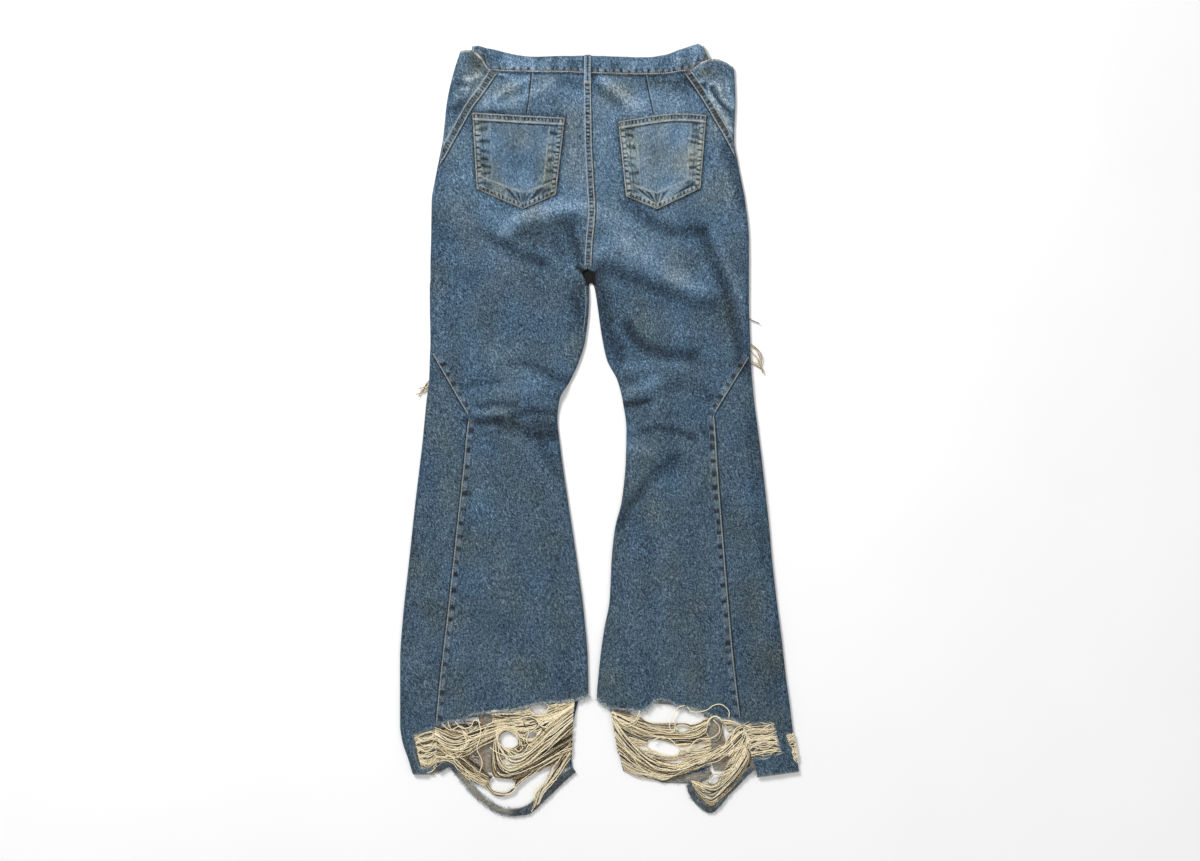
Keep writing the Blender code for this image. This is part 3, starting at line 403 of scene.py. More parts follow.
LEFT_FRONT_INNER_YARNS = table(
    Bundle,
    ([(-146, 1044), (-95, 1042), (-42, 1028)], [(-146, 1116), (-95, 1108), (-40, 1104)], 54, 0.7, 2.0, 1.5,
     0.4),
)
RIGHT_SIDE_YARNS = table(
    Bundle,
    ([(238, 1053), (265, 1052), (289, 1052)], [(254, 1107), (278, 1104), (300, 1099)], 48, 3.4, 5.6, 0.9,
     1.15),
)
RIGHT_CORNER_YARNS = table(
    Bundle,
    ([(307, 1071), (313, 1071), (319.5, 1070)], [(319, 1108), (323, 1108), (326, 1108)], 40, 3.4, 5.6, 0.4,
     1.1),
)
RIGHT_BACK_YARNS = table(
    Bundle,
    ([(36, 1036), (50, 1062), (72, 1088), (96, 1108), (122, 1118), (140, 1118), (172, 1108), (205, 1090),
     (226, 1062), (239, 1055)], [(46, 1098), (78, 1121), (105, 1133), (118, 1136), (134, 1131), (156, 1124),
     (186, 1110), (215, 1100), (236, 1080), (246, 1070)], 48, 3.4, 6.2, 3.5, 0.72),
    ([(46, 1092), (74, 1114), (104, 1130), (122, 1132), (154, 1121), (184, 1108), (212, 1098), (238, 1084)],
     [(56, 1126), (78, 1135), (104, 1138), (120, 1141), (136, 1134), (156, 1127), (186, 1113), (215, 1103),
     (246, 1088)], 26, 3.2, 5.8, 2.5, 0.55),
    ([(36, 1032), (60, 1040), (84, 1048), (104, 1056), (130, 1060), (158, 1060), (186, 1050), (214, 1046),
     (238, 1053)], [(40, 1054), (64, 1068), (90, 1078), (118, 1080), (146, 1080), (172, 1078), (190, 1064),
     (214, 1056), (238, 1058)], 26, 3.0, 5.8, 3.5, 0.8),
    ([(36, 1040), (60, 1074), (94, 1106), (132, 1120), (168, 1110), (204, 1090), (234, 1062)], [(42, 1066),
     (68, 1100), (98, 1124), (132, 1132), (172, 1121), (210, 1102), (240, 1074)], 14, 5.2, 7.4, 5.0, 0.95),
    ([(160, 1142), (186, 1145), (200, 1140), (214, 1130), (228, 1115), (241, 1094), (247, 1071)],
     [(163, 1150), (176, 1168), (191, 1178), (207, 1167), (226, 1147), (244, 1123), (251, 1103)], 36, 2.6,
     5.6, 2.2, 0.8),
    ([(226, 1096), (234, 1082), (240, 1066), (240, 1058)], [(206, 1134), (226, 1124), (244, 1098),
     (250, 1074)], 20, 3.0, 5.8, 2.5, 0.7),
)
RIGHT_FRONT_YARNS = table(
    Bundle,
    ([(64, 1044), (99, 1054), (131, 1058), (160, 1054), (188, 1046)], [(62, 1108), (100, 1112), (131, 1114),
     (160, 1110), (193, 1104)], 58, 0.7, 2.0, 1.5, 0.75),
    ([(204, 1056), (220, 1060), (236, 1062)], [(212, 1104), (230, 1108), (247, 1104)], 22, 0.7, 2.0, 1.5,
     0.6),
)

# Loose single yarns: the line of each and the height of its middle.
Loose = namedtuple("Loose", "path height tint")
LEFT_LOOSE_YARNS = table(
    Loose,
    ([(-111, 1046), (-100, 1052), (-88, 1054), (-76, 1050), (-66, 1052), (-52, 1044), (-42, 1034)], 6.4,
     0.9),
    ([(-105, 1080), (-112, 1070), (-104, 1060), (-92, 1064), (-95, 1082), (-84, 1090)], 6.6, 0.8),
    ([(-88, 1190), (-80, 1176), (-84, 1160), (-74, 1148)], 4.2, 0.9),
    ([(-60, 1166), (-66, 1156), (-58, 1146), (-48, 1140)], 3.8, 0.9),
    ([(-196, 1118), (-188, 1126), (-190, 1136), (-182, 1142)], 4.2, 0.7),
    ([(-170, 1046), (-166, 1070), (-172, 1092), (-164, 1112), (-168, 1130)], 6.4, 0.8),
    ([(-152, 1090), (-140, 1098), (-120, 1104), (-100, 1098), (-92, 1086)], 6.8, 0.95),
    ([(-107, 1070), (-103, 1082), (-100, 1096)], 5.0, 0.6),
    ([(-104, 1070), (-99, 1080), (-97, 1092)], 5.4, 0.9),
    ([(-109, 1074), (-107, 1086), (-104, 1098)], 5.6, 0.1),
    ([(-112, 1096), (-104, 1088), (-96, 1092), (-100, 1098)], 6.3, 0.0),
    ([(-108, 1098), (-99, 1092), (-94, 1084), (-102, 1084)], 6.6, 0.1),
    ([(-114, 1092), (-107, 1096), (-101, 1090), (-104, 1083)], 6.9, 0.85),
    ([(-98, 1050), (-88, 1046), (-78, 1052), (-84, 1062), (-96, 1060), (-100, 1050)], 6.4, 0.05),
    ([(-94, 1056), (-84, 1050), (-74, 1058), (-66, 1066)], 6.7, 0.1),
    ([(-104, 1044), (-92, 1042), (-80, 1047), (-74, 1056), (-62, 1060)], 7.0, 0.95),
    ([(-90, 1066), (-80, 1060), (-70, 1048), (-56, 1046)], 7.0, 0.9),
    ([(-232, 1078), (-222, 1088), (-208, 1094), (-194, 1092), (-184, 1082)], 6.9, 0.95),
    ([(-230, 1070), (-218, 1080), (-204, 1084), (-190, 1080)], 6.6, 0.1),
    ([(-196, 1098), (-186, 1104), (-176, 1098), (-170, 1088)], 6.4, 0.1),
    ([(-228, 1052), (-214, 1063), (-198, 1057), (-184, 1066), (-172, 1058)], 6.0, 0.8),
    ([(-206, 1050), (-196, 1060), (-182, 1058), (-176, 1048), (-166, 1052)], 6.3, 0.9),
    ([(-192, 1048), (-188, 1062), (-176, 1070), (-166, 1062)], 5.8, 0.05),
    ([(-212, 1054), (-204, 1066), (-190, 1070), (-178, 1064)], 5.6, 0.0),
)
RIGHT_LOOSE_YARNS = table(
    Loose,
    ([(150, 1025), (139, 1029), (131, 1042), (126, 1057), (131, 1065)], 6.4, 0.85),
    ([(133, 1044), (135, 1055), (133, 1065), (122, 1067)], 6.6, 0.85),
    ([(154, 1027), (160, 1034), (173, 1035), (186, 1031), (194, 1025), (205, 1023), (215, 1029),
     (219, 1036), (218, 1044)], 6.9, 0.9),
    ([(194, 1047), (203, 1057), (203, 1067), (190, 1076), (169, 1078), (152, 1097)], 6.6, 0.8),
    ([(41, 1038), (46, 1048), (58, 1054), (71, 1050), (78, 1040), (80, 1033)], 6.2, 0.85),
    ([(42, 1036), (48, 1050), (60, 1057), (73, 1053), (81, 1040)], 6.0, 0.75),
    ([(228, 1062), (222, 1078), (226, 1092), (218, 1104)], 6.8, 0.9),
    ([(100, 1080), (112, 1074), (128, 1078), (140, 1090), (150, 1092)], 6.6, 0.9),
)

# Places that the yarns part round. 'lean' is how far the middle line falls for each millimetre across.
Hole = namedtuple("Hole", "across down wide long lean")
HOLES = table(
    Hole,
    (-76, 1029, 13, 7, 0.0), (-123, 1079, 16, 11, 0.0), (-88, 1071, 8, 3.5, 0.0), (-133, 1149, 20, 7, 0.1),
    (107, 1038, 24, 10, 0.05), (150, 1035, 11, 2.5, 0.1), (156, 1048, 21, 5, -0.1),
    (146, 1061, 11, 3.5, 0.0), (116, 1090, 24, 7, 0.35), (209, 1071, 6, 13, 0.0), (196, 1062, 11, 15, 0.0),
    (195, 1140, 8, 5, 0.0),
)

# Torn-off hem tapes, as the line through the middle of each.
Node = namedtuple("Node", "across down middle")
LEFT_HEM_TAPE = table(
    Node,
    (-233.6, 1124.5, 5.2), (-214, 1115, 3.4), (-201, 1129, 2.6), (-184, 1151, 2.3), (-166, 1169, 2.3),
    (-147, 1183, 2.3), (-127, 1191, 2.3), (-107, 1190.8, 2.3), (-88, 1184, 2.3), (-56, 1154, 2.3),
    (-39, 1138, 2.3), (-22, 1125, 2.3),
)
RIGHT_HEM_TAPE = table(
    Node,
    (254.6, 1122, 5.2), (241, 1134, 3.2), (224, 1152, 2.3), (207, 1171, 2.3), (193, 1186, 2.3),
    (182, 1184, 2.3), (165, 1167, 2.3), (157, 1148, 2.3),
)
FRONT_HEM_RIGHT = table(
    Node,
    (108, 1136, 0.9), (130, 1138, 0.9), (150, 1138, 0.9), (172, 1136, 0.9), (190.6, 1128, 0.9),
)

# Where the front's right hem tore off, which is frayed too.
FRONT_HEM_TEAR = [(128, 1130.5), (150, 1129.5), (172, 1127.5), (190, 1120.5)]

# Loose threads from the front's worn knees, which stick out past the fold.
LEFT_KNEE_THREADS = table(
    Loose,
    ([(-244, 524), (-250, 528), (-256, 536), (-260, 541), (-267, 543)], 2.6, 0.3),
    ([(-244, 530), (-251, 533), (-257, 538), (-263, 546)], 2.2, 0.4),
    ([(-245, 520), (-252, 529), (-256, 540)], 2.9, 0.2),
    ([(-245, 534), (-254, 537), (-261, 539)], 2.0, 0.5),
    ([(-246, 528), (-255, 532), (-262, 534)], 2.5, 0.4),
)
RIGHT_KNEE_THREADS = table(
    Loose,
    ([(248, 464), (257, 468), (266, 477), (270, 488), (268, 499), (272, 509)], 2.8, 0.3),
    ([(249, 467), (259, 472), (265, 482), (267, 492), (264, 501)], 2.4, 0.4),
    ([(250, 496), (258, 497), (265, 501), (272, 505)], 2.2, 0.2),
    ([(250, 490), (259, 494), (267, 497), (271, 511)], 2.6, 0.5),
    ([(249, 470), (256, 480), (262, 486), (266, 497)], 2.0, 0.4),
    ([(246, 424), (256, 429), (266, 433)], 3.0, 0.1),
)

# Where the bare yarns and loose threads go: the piece's node and the end of its own name.
YarnPlace = namedtuple("YarnPlace", "node ending bundles loose seed")
YARN_PLACES = table(
    YarnPlace,
    ("yarns_left_side", "threads", LEFT_SIDE_YARNS, [], 91),
    ("yarns_left_back", "threads", LEFT_BACK_YARNS, LEFT_LOOSE_YARNS, 92),
    ("yarns_left_front_outer", "threads", LEFT_FRONT_OUTER_YARNS, [], 93),
    ("yarns_left_front_inner", "threads", LEFT_FRONT_INNER_YARNS, [], 94),
    ("yarns_right_side", "threads", RIGHT_SIDE_YARNS + RIGHT_CORNER_YARNS, [], 95),
    ("yarns_right_back", "threads", RIGHT_BACK_YARNS, RIGHT_LOOSE_YARNS, 96),
    ("yarns_right_front", "threads", RIGHT_FRONT_YARNS, [], 97),
    ("knee_threads_left", "hairs", [], LEFT_KNEE_THREADS, 98),
    ("knee_threads_right", "hairs", [], RIGHT_KNEE_THREADS, 99),
)

# Felled seams: a strip along each line, from 'low' to 'high' millimetres beside it. 'pale' and 'dark' are
# where worn and shadowed lines run, 'near' and 'far' are where the puckers start and end, 'spacing' is
# the least and the most between them, and 'half' is half of one's length.
CENTRE_LINE = [(-1, 52), (0, 110), (1, 161), (4, 219), (6, 260), (2, 308), (0, 345)]
LEFT_HIP_LINE = [(-143, 47), (-162, 75), (-180, 99), (-194, 124), (-207.5, 148), (-221, 172), (-231, 188)]
RIGHT_HIP_LINE = [(151, 46), (167, 69), (182, 92), (196, 116), (208, 136), (219, 156), (231, 180)]
LEFT_KNEE_LINE = [(-240, 480), (-213, 527), (-185, 575)]
RIGHT_KNEE_LINE = [(249, 485), (223, 527), (196, 571)]
LEFT_CALF_LINE = [(-184, 580), (-188, 612), (-191, 648), (-197, 701)]
LEFT_CALF_LINE += [(-215, 868), (-228, 980), (-235, 1052)]
RIGHT_CALF_LINE = [(194.5, 576), (197, 611), (201, 675), (214, 837), (225, 960), (235, 1045)]
Seam = namedtuple("Seam", "name line low high pale dark near far spacing half seed")
SEAMS = table(
    Seam,
    ("seam_centre", CENTRE_LINE, -7.0, 7.0, (-4.6, 4.2), (6.2,), -3.2, 2.8, (4.6, 7.4), 1.7, 51),
    ("seam_hip_left", LEFT_HIP_LINE, -12.6, 3.4, (-10.2, 0.0), (2.0,), -1.6, -8.6, (3.4, 5.4), 1.2, 52),
    ("seam_hip_right", RIGHT_HIP_LINE, -3.4, 11.4, (0.0, 9.0), (-2.0,), 1.6, 7.6, (4.4, 8.0), 1.6, 53),
    ("seam_knee_left", LEFT_KNEE_LINE, -3.6, 10.5, (0.0,), (-2.0,), 1.5, 9.0, (13.0, 22.0), 4.0, 54),
    ("seam_knee_right", RIGHT_KNEE_LINE, -10.5, 3.6, (0.0,), (2.0,), -1.5, -9.0, (13.0, 22.0), 4.0, 55),
    ("seam_calf_left", LEFT_CALF_LINE, -3.6, 10.5, (0.0,), (-2.0,), 1.5, 9.0, (13.0, 27.0), 4.0, 56),
    ("seam_calf_right", RIGHT_CALF_LINE, -10.5, 3.6, (0.0,), (2.0,), -1.5, -9.0, (13.0, 27.0), 4.0, 57),
)
PUCKERED_CLOSELY = 10.0

# The two darts under the waistband, as the line of each.
LEFT_DART = [(-87, 45), (-90, 75), (-95, 108)]
RIGHT_DART = [(90, 49), (96, 80), (102, 108)]

# Straight rows of stitches, at one height: along the front's two hems, then down the seams inside it.
StitchRow = namedtuple("StitchRow", "start end height tint gap radius")
STITCH_ROWS = table(
    StitchRow,
    ((262, 1137.2), (326, 1128.2), 2.4, 0.5, 0.2, 0.9),
    ((-271, 1132.4), (-238, 1133.0), 2.4, 0.5, 0.2, 0.9),
    ((-167.5, 1043), (-162.5, 1130), 1.4, 1.0, 0.4, 0.55),
    ((-164.0, 1043), (-159.5, 1130), 1.4, 0.9, 0.4, 0.55),
    ((199.0, 1048), (211.0, 1128), 1.4, 0.75, 0.4, 0.55),
    ((203.5, 1052), (214.5, 1124), 1.4, 0.85, 0.4, 0.55),
)
Bartack = namedtuple("Bartack", "start end width tint")
BARTACKS = table(
    Bartack,
    ((-154, 42), (-143, 49), 5, 0.15),
    ((150, 43), (163, 38), 5, 0.8),
    ((-178, 109), (-171, 109), 2.0, 0.95),
    ((-45, 117), (-37, 117), 2.0, 0.95),
    ((48, 123), (55, 122), 2.0, 0.95),
    ((174, 113), (182, 113), 2.0, 0.95),
)

# ---- Curves, surfaces and tones -----------------------------------------------------------------


def ease(share):
    """0 below 0, 1 above 1, and a soft step between them."""
    share = np.clip(share, 0.0, 1.0)
    return share * share * (3 - 2 * share)


def column(rows, name):
    """One column of a table, as an array."""
    return np.array([getattr(row, name) for row in rows], float)


class Curve:
    """One column of a table against another, on a smooth curve with no overshoot."""

    def __init__(self, rows, key, value):
        self.x, self.y = column(rows, key), column(rows, value)
        step = np.diff(self.y) / np.diff(self.x)
        before, after = step[:-1], step[1:]
        same = before * after > 0
        total = np.where(same, before + after, 1.0)
        between = np.where(same, 2 * before * after / total, 0.0)
        self.slope = np.concatenate([step[:1], between, step[-1:]])

    def __call__(self, at):
        at = np.clip(at, self.x[0], self.x[-1])
        i = np.clip(np.searchsorted(self.x, at, side="right") - 1, 0, len(self.x) - 2)
        wide = self.x[i + 1] - self.x[i]
        t = (at - self.x[i]) / wide
        rise = self.y[i] * (1 + 2 * t) + self.slope[i] * wide * t
        fall = self.y[i + 1] * (3 - 2 * t) - self.slope[i + 1] * wide * (1 - t)
        return rise * (1 - t) ** 2 + fall * t**2


def straight(rows, key, value, at):
    """One column of a table against another, on straight lines."""
    return np.interp(at, column(rows, key), column(rows, value))


def rim_down(rims, across):
    """How far down an edge of the body lies at each place across."""
    return straight(rims, "across", "down", across)


class Waves:
    """Soft uneven waves over the plane, about -1 to 1, from plane waves of seeded lengths and turns."""

    def __init__(self, seed, shortest, longest, count=18):
        rng = np.random.default_rng(seed)
        length = rng.uniform(shortest, longest, count)
        turn = rng.uniform(0, pi, count)
        self.x = 2 * pi / length * np.cos(turn)
        self.y = 2 * pi / length * np.sin(turn)
        self.phase = rng.uniform(0, 2 * pi, count)
        self.scale = 1.6 / count**0.5

    def __call__(self, across, down):
        total = 0.0
        for x, y, phase in zip(self.x, self.y, self.phase):
            total = total + np.sin(across * x + down * y + phase)
        return total * self.scale


RIPPLES = Waves(11, 14, 40)
SWELLS = Waves(12, 60, 160)
RAGGED = Waves(15, 5, 22)
RIPPLE_HEIGHT = 0.16
SWELL_HEIGHT = 0.3
TONE_WAVES = Waves(13, 40, 130)
STAIN_WAVES = Waves(14, 40, 130)


def place(across, down, height):
    """Points in metres, from millimetres across, down and up."""
    middle = (FURTHEST_LEFT + FURTHEST_RIGHT) / 2
    across, down, height = np.broadcast_arrays(across, down, height)
    return np.stack([(across - middle) * MM, (LENGTH / 2 - down) * MM, height * MM], axis=-1)


def bell(away):
    """1 where `away` is 0, falling softly to 0 at 1 and beyond."""
    return np.cos(pi / 2 * np.minimum(away, 1.0)) ** 2


def fold_height(fold, across, down):
    """How far one fold lifts the cloth at a place."""
    run_x, run_y = fold.to_across - fold.across, fold.to_down - fold.down
    length = np.hypot(run_x, run_y)
    x, y = across - fold.across, down - fold.down
    along = (x * run_x + y * run_y) / length
    aside = (x * run_y - y * run_x) / length
    past = np.maximum(np.maximum(-along, along - length), 0.0)
    return fold.height * bell(np.hypot(aside, past) / fold.width)


def distance_to(path, across, down, closed=False):
    """The distance from each place to a line of straight stretches."""
    nearest = np.full(np.shape(across), 1e6)
    ends = path[1:] + path[:1] if closed else path[1:]
    for (ax, ay), (bx, by) in zip(path, ends):
        run_x, run_y = bx - ax, by - ay
        share = ((across - ax) * run_x + (down - ay) * run_y) / (run_x**2 + run_y**2)
        share = np.clip(share, 0.0, 1.0)
        nearest = np.minimum(nearest, np.hypot(across - ax - share * run_x, down - ay - share * run_y))
    return nearest


def is_inside(outline, across, down):
    """Whether each place lies inside an outline."""
    crossings = np.zeros(np.shape(across), bool)
    for (ax, ay), (bx, by) in zip(outline, outline[1:] + outline[:1]):
        if ay == by:
            continue
        between = (down >= min(ay, by)) & (down < max(ay, by))
        crossings ^= between & (across < ax + (down - ay) * (bx - ax) / (by - ay))
    return crossings


def patched(patches, across, down):
    """What a table of patches adds to the tone and to the stain at each place."""
    tone, stain = 0.0, 0.0
    for patch in patches:
        share = bell(np.hypot((across - patch.across) / patch.wide, (down - patch.down) / patch.long) * 0.8)
        tone, stain = tone + patch.tone * share, stain + patch.stain * share
    return tone, stain


def cloth_marks(across, down):
    """The tone and the stain of the upper layer at each place: the dye's fade and stains, with painted
    light and shade along the creases and the streaks.
    """
    tone, stain = patched(PATCHES, across, down)
    tone = tone + straight(FADE, "down", "tone", down) + 0.08 * TONE_WAVES(across, down)
    stain = stain + straight(FADE, "down", "stain", down) + 0.12 * STAIN_WAVES(across, down)
    # Along the creases the tone is partly wear and partly painted light and shade of the fold.
    for crease in CREASES:
        tone = tone + crease.tone * bell(distance_to(crease.path, across, down) / crease.width)
    # Streaks: the pale ones are partly wear and partly painted highlight, the dark ones painted shade.
    for streak in STREAKS:
        away = distance_to(streak.path, across, down) + 0.6 * RAGGED(across, down)
        tone = tone + streak.tone * near_line(away, streak.wide)
    return tone, np.clip(stain, 0.0, 1.0)


def dye_and_shade_marks(tone, stain=0.0, worn=0.0, **more):
    """A denim piece's marks: its tone, which may hold painted light and shade, how stained and how worn
    it is, from 0 to 1, and any others, such as the painted shadow 'shade'.
    """
    return {"tone": tone, "stain": np.clip(stain, 0, 1), "worn": np.clip(worn, 0, 1), **more}


def crotch_shade(across, down):
    """1 in the dark gap at the crotch, where it paints shadow."""
    inside = is_inside(CROTCH_GAP, across, down)
    return np.where(inside, 1.0, ease(1 - distance_to(CROTCH_GAP, across, down, True) / 2))


def front_marks(across, down):
    """The tone and the stain of the front's dye at each place, which is hidden."""
    tone = straight(FADE, "down", "tone", down) * 0.6 + 0.12 * TONE_WAVES(across, down)
    stain = 0.1 + 0.12 * STAIN_WAVES(across, down)
    for patch in FRONT_PATCHES:
        away = np.hypot((np.abs(across) - patch.across) / patch.wide, (down - patch.down) / patch.long)
        tone = tone + patch.tone * bell(away * 0.8)
    return tone, np.clip(stain, 0.0, 1.0)


class Leg:
    """One side of the garment, from the waist to the hem."""

    def __init__(self, name, edges, seams, torn_edge, front_edges, windows, under_windows):
        self.name = name
        self.side = 1 if edges[0].outer > 0 else -1
        self.outer = Curve(edges, "down", "outer")
        self.inner = Curve(edges, "down", "inner")
        self.under = Curve(edges, "down", "under")
        self.hip_seam, self.calf_seam = seams
        self.torn_edge = torn_edge
        self.mouth, self.front_top, self.hem, self.under_hem = front_edges
        self.windows, self.under_windows = windows, under_windows

    def seam(self, down):
        """Where the outseam lies across."""
        hip = straight(self.hip_seam, "down", "across", down)
        calf = straight(self.calf_seam, "down", "across", down)
        on_fold = (down > self.hip_seam[-1].down) & (down < self.calf_seam[0].down)
        return np.where(on_fold, self.outer(down), np.where(down <= self.hip_seam[-1].down, hip, calf))

    def wrap(self, down):
        """How far the front panel reaches past the fold onto the upper layer."""
        return np.maximum((self.outer(down) - self.seam(down)) * self.side, 0.0)

    def lift(self, across, down):
        """The height of the upper layer's middle away from its folded edges."""
        from_edge = np.minimum((self.outer(down) - across) * self.side, CROWN_REACH)
        height = UPPER_HEIGHT + CROWN * ease(from_edge / CROWN_REACH)
        for fold in FOLDS:
            height = height + fold_height(fold, across, down)
        for crease in CREASES:
            height = height + crease.height * bell(distance_to(crease.path, across, down) / crease.width)
        height = height + RIPPLE_HEIGHT * RIPPLES(across, down) + SWELL_HEIGHT * SWELLS(across, down)
        return LEAST_HEIGHT + np.logaddexp(0.0, (height - LEAST_HEIGHT) * 3) / 3

    def ring(self, reach, down):
        """The point `reach` along the cloth from the outer fold's tip. Below it the reach is negative."""
        turn = np.minimum(np.abs(reach) / FOLD_ARC, 1.0) * pi / 2
        inward = FOLD_REACH * (1 - np.cos(turn)) + np.maximum(np.abs(reach) - FOLD_ARC, 0.0)
        across = self.outer(down) - inward * self.side
        full = np.where(reach > 0, self.lift(across, down), UNDER_HEIGHT)
        return across, FOLD_MIDDLE + (full - FOLD_MIDDLE) * np.sin(turn)

    def inner_point(self, reach, down, is_upper):
        """The point `reach` along the cloth from the inner edge. Above the crotch the layers end flat,
        at the centre seams, and below it they meet in a fold at the inseam."""
        turn = np.minimum(reach / FOLD_ARC, 1.0) * pi / 2
        folded_in = FOLD_REACH * (1 - np.cos(turn)) + np.maximum(reach - FOLD_ARC, 0.0)
        share = ease((down - CROTCH_DOWN) / (FOLD_STARTS - CROTCH_DOWN))
        inward = reach + (folded_in - reach) * share
        across = (self.inner(down) if is_upper else self.under(down)) + inward * self.side
        full = self.lift(across, down) if is_upper else UNDER_HEIGHT
        folded = FOLD_MIDDLE + (full - FOLD_MIDDLE) * np.sin(turn)
        return across, full + (folded - full) * share

    def back_cells(self, down):
        """The back panel's places and heights: from the inner edge to the outseam."""
        count = len(EDGE_STEPS)
        down = np.broadcast_to(down, (down.shape[0], 2 * count + BACK_COLUMNS))
        start = SEAM_GAP / 2
        inner = self.inner_point(start + EDGE_STEPS, down[:, :count], True)
        outer_down = down[:, -count:]
        outer = self.ring(self.wrap(outer_down) + start + EDGE_STEPS[::-1], outer_down)
        middle_down = down[:, count:-count]
        first = self.inner_point(np.array([start + FOLD_ARC]), middle_down, True)[0]
        last = self.ring(self.wrap(middle_down) + start + FOLD_ARC, middle_down)[0]
        across = first + (last - first) * np.linspace(0, 1, BACK_COLUMNS + 2)[1:-1]
        middle = across, self.lift(across, middle_down)
        return tuple(np.concatenate(parts, axis=1) for parts in zip(inner, middle, outer))

    def front_cells(self, down):
        """The front panel's: along the layer beneath, round the outer fold and on to the outseam."""
        count = len(EDGE_STEPS)
        fold_column = count + BENEATH_COLUMNS
        down = np.broadcast_to(down, (down.shape[0], fold_column + WRAP_COLUMNS))
        inner = self.inner_point(SEAM_GAP / 2 + EDGE_STEPS, down[:, :count], False)
        beneath_down = down[:, count:fold_column]
        first = self.inner_point(np.array([SEAM_GAP / 2 + FOLD_ARC]), beneath_down, False)[0]
        last = self.ring(np.full_like(beneath_down, -FOLD_ARC), beneath_down)[0]
        across = first + (last - first) * np.linspace(0, 1, BENEATH_COLUMNS + 2)[1:-1]
        beneath = across, np.full_like(across, UNDER_HEIGHT)
        wrap_down = down[:, fold_column:]
        end = self.wrap(wrap_down) - SEAM_GAP / 2
        fold_columns = WRAP_COLUMNS // 4
        even = np.linspace(0, 1, WRAP_COLUMNS)
        fold_share = np.minimum(2 * FOLD_ARC / (end + FOLD_ARC), even[fold_columns])
        on_fold = even / even[fold_columns] * fold_share
        past_fold = fold_share + (even - even[fold_columns]) / (1 - even[fold_columns]) * (1 - fold_share)
        reach = -FOLD_ARC + (end + FOLD_ARC) * np.where(even < even[fold_columns], on_fold, past_fold)
        wrap = self.ring(reach, wrap_down)
        return tuple(np.concatenate(parts, axis=1) for parts in zip(inner, beneath, wrap))


LEFT = Leg(
    "left",
    LEFT_LEG,
    (LEFT_HIP_SEAM, LEFT_CALF_SEAM),
    LEFT_TORN_EDGE,
    (LEFT_POCKET_MOUTH, LEFT_FRONT_TOP, LEFT_HEM, LEFT_UNDER_HEM),
    [LEFT_SIDE_WINDOW],
    LEFT_UNDER_WINDOWS,
)
RIGHT = Leg(
    "right",
    RIGHT_LEG,
    (RIGHT_HIP_SEAM, RIGHT_CALF_SEAM),
    RIGHT_TORN_EDGE,
    (RIGHT_POCKET_MOUTH, RIGHT_FRONT_TOP, RIGHT_HEM, RIGHT_UNDER_HEM),
    [RIGHT_SIDE_WINDOW, RIGHT_CORNER_WINDOW],
    RIGHT_UNDER_WINDOWS,
)
LEGS = (LEFT, RIGHT)


def upper_height(across, down):
    """The height of the upper layer's middle on either leg."""
    return np.where(np.asarray(across) < 0, LEFT.lift(across, down), RIGHT.lift(across, down))


def smooth_line(nodes, count):
    """`count` evenly spaced points on a smooth curve through the nodes."""
    nodes = np.array(nodes, float)
    padded = np.vstack([2 * nodes[0] - nodes[1], nodes, 2 * nodes[-1] - nodes[-2]])
    share = np.linspace(0, 1, 12, endpoint=False)[:, None]
    fine = []
    for i in range(len(nodes) - 1):
        p0, p1, p2, p3 = padded[i:i + 4]
        bend = (2 * p0 - 5 * p1 + 4 * p2 - p3) * share**2 + (3 * p1 - p0 - 3 * p2 + p3) * share**3
        fine.append(p1 + ((p2 - p0) * share + bend) / 2)
    return even_line(np.vstack(fine + [nodes[-1:]]), count)


def line_length(points):
    """The length of the straight stretches through the points."""
    return float(np.linalg.norm(np.diff(points, axis=0), axis=1).sum())


def even_line(points, count):
    """`count` evenly spaced points on straight stretches through the points."""
    walked = np.concatenate([[0.0], np.cumsum(np.linalg.norm(np.diff(points, axis=0), axis=1))])
    at = np.linspace(0, walked[-1], count)
    return np.stack([np.interp(at, walked, points[:, k]) for k in range(points.shape[1])], axis=1)


def ticks(along, aside, spacing, half_length, reach, seed):
    """Puckers across a band, 1 in the middle of each, at uneven places along it."""
    rng = np.random.default_rng(seed)
    total = np.zeros(np.shape(along))
    near, far = reach
    at = float(np.min(along)) + rng.uniform(0, spacing[1])
    while at < float(np.max(along)):
        lean, long = rng.uniform(-0.25, 0.25), half_length * rng.uniform(0.7, 1.25)
        end = near + (far - near) * rng.uniform(0.75, 1.1)
        profile = np.exp(-(((along - at - lean * (aside - near)) / long) ** 4))
        window = ease((aside - near) / 1.0 + 0.5) * ease((end - aside) / 1.4 + 0.5)
        total = total + rng.uniform(0.5, 1.0) * profile * window
        at += rng.uniform(*spacing)
    return np.minimum(total, 1.0)


def near_line(away, half_width):
    """1 on a line, falling softly to either side."""
    return np.exp(-((away / half_width) ** 2))


# ---- Materials ----------------------------------------------------------------------------------


def linear(red, green, blue):
    """A colour given as it looks on a screen, 0 to 255, as the light it gives back."""
    parts = []
    for part in (red, green, blue):
        part = part / 255
        parts.append(part / 12.92 if part <= 0.04045 else ((part + 0.055) / 1.055) ** 2.4)
    return (*parts, 1.0)


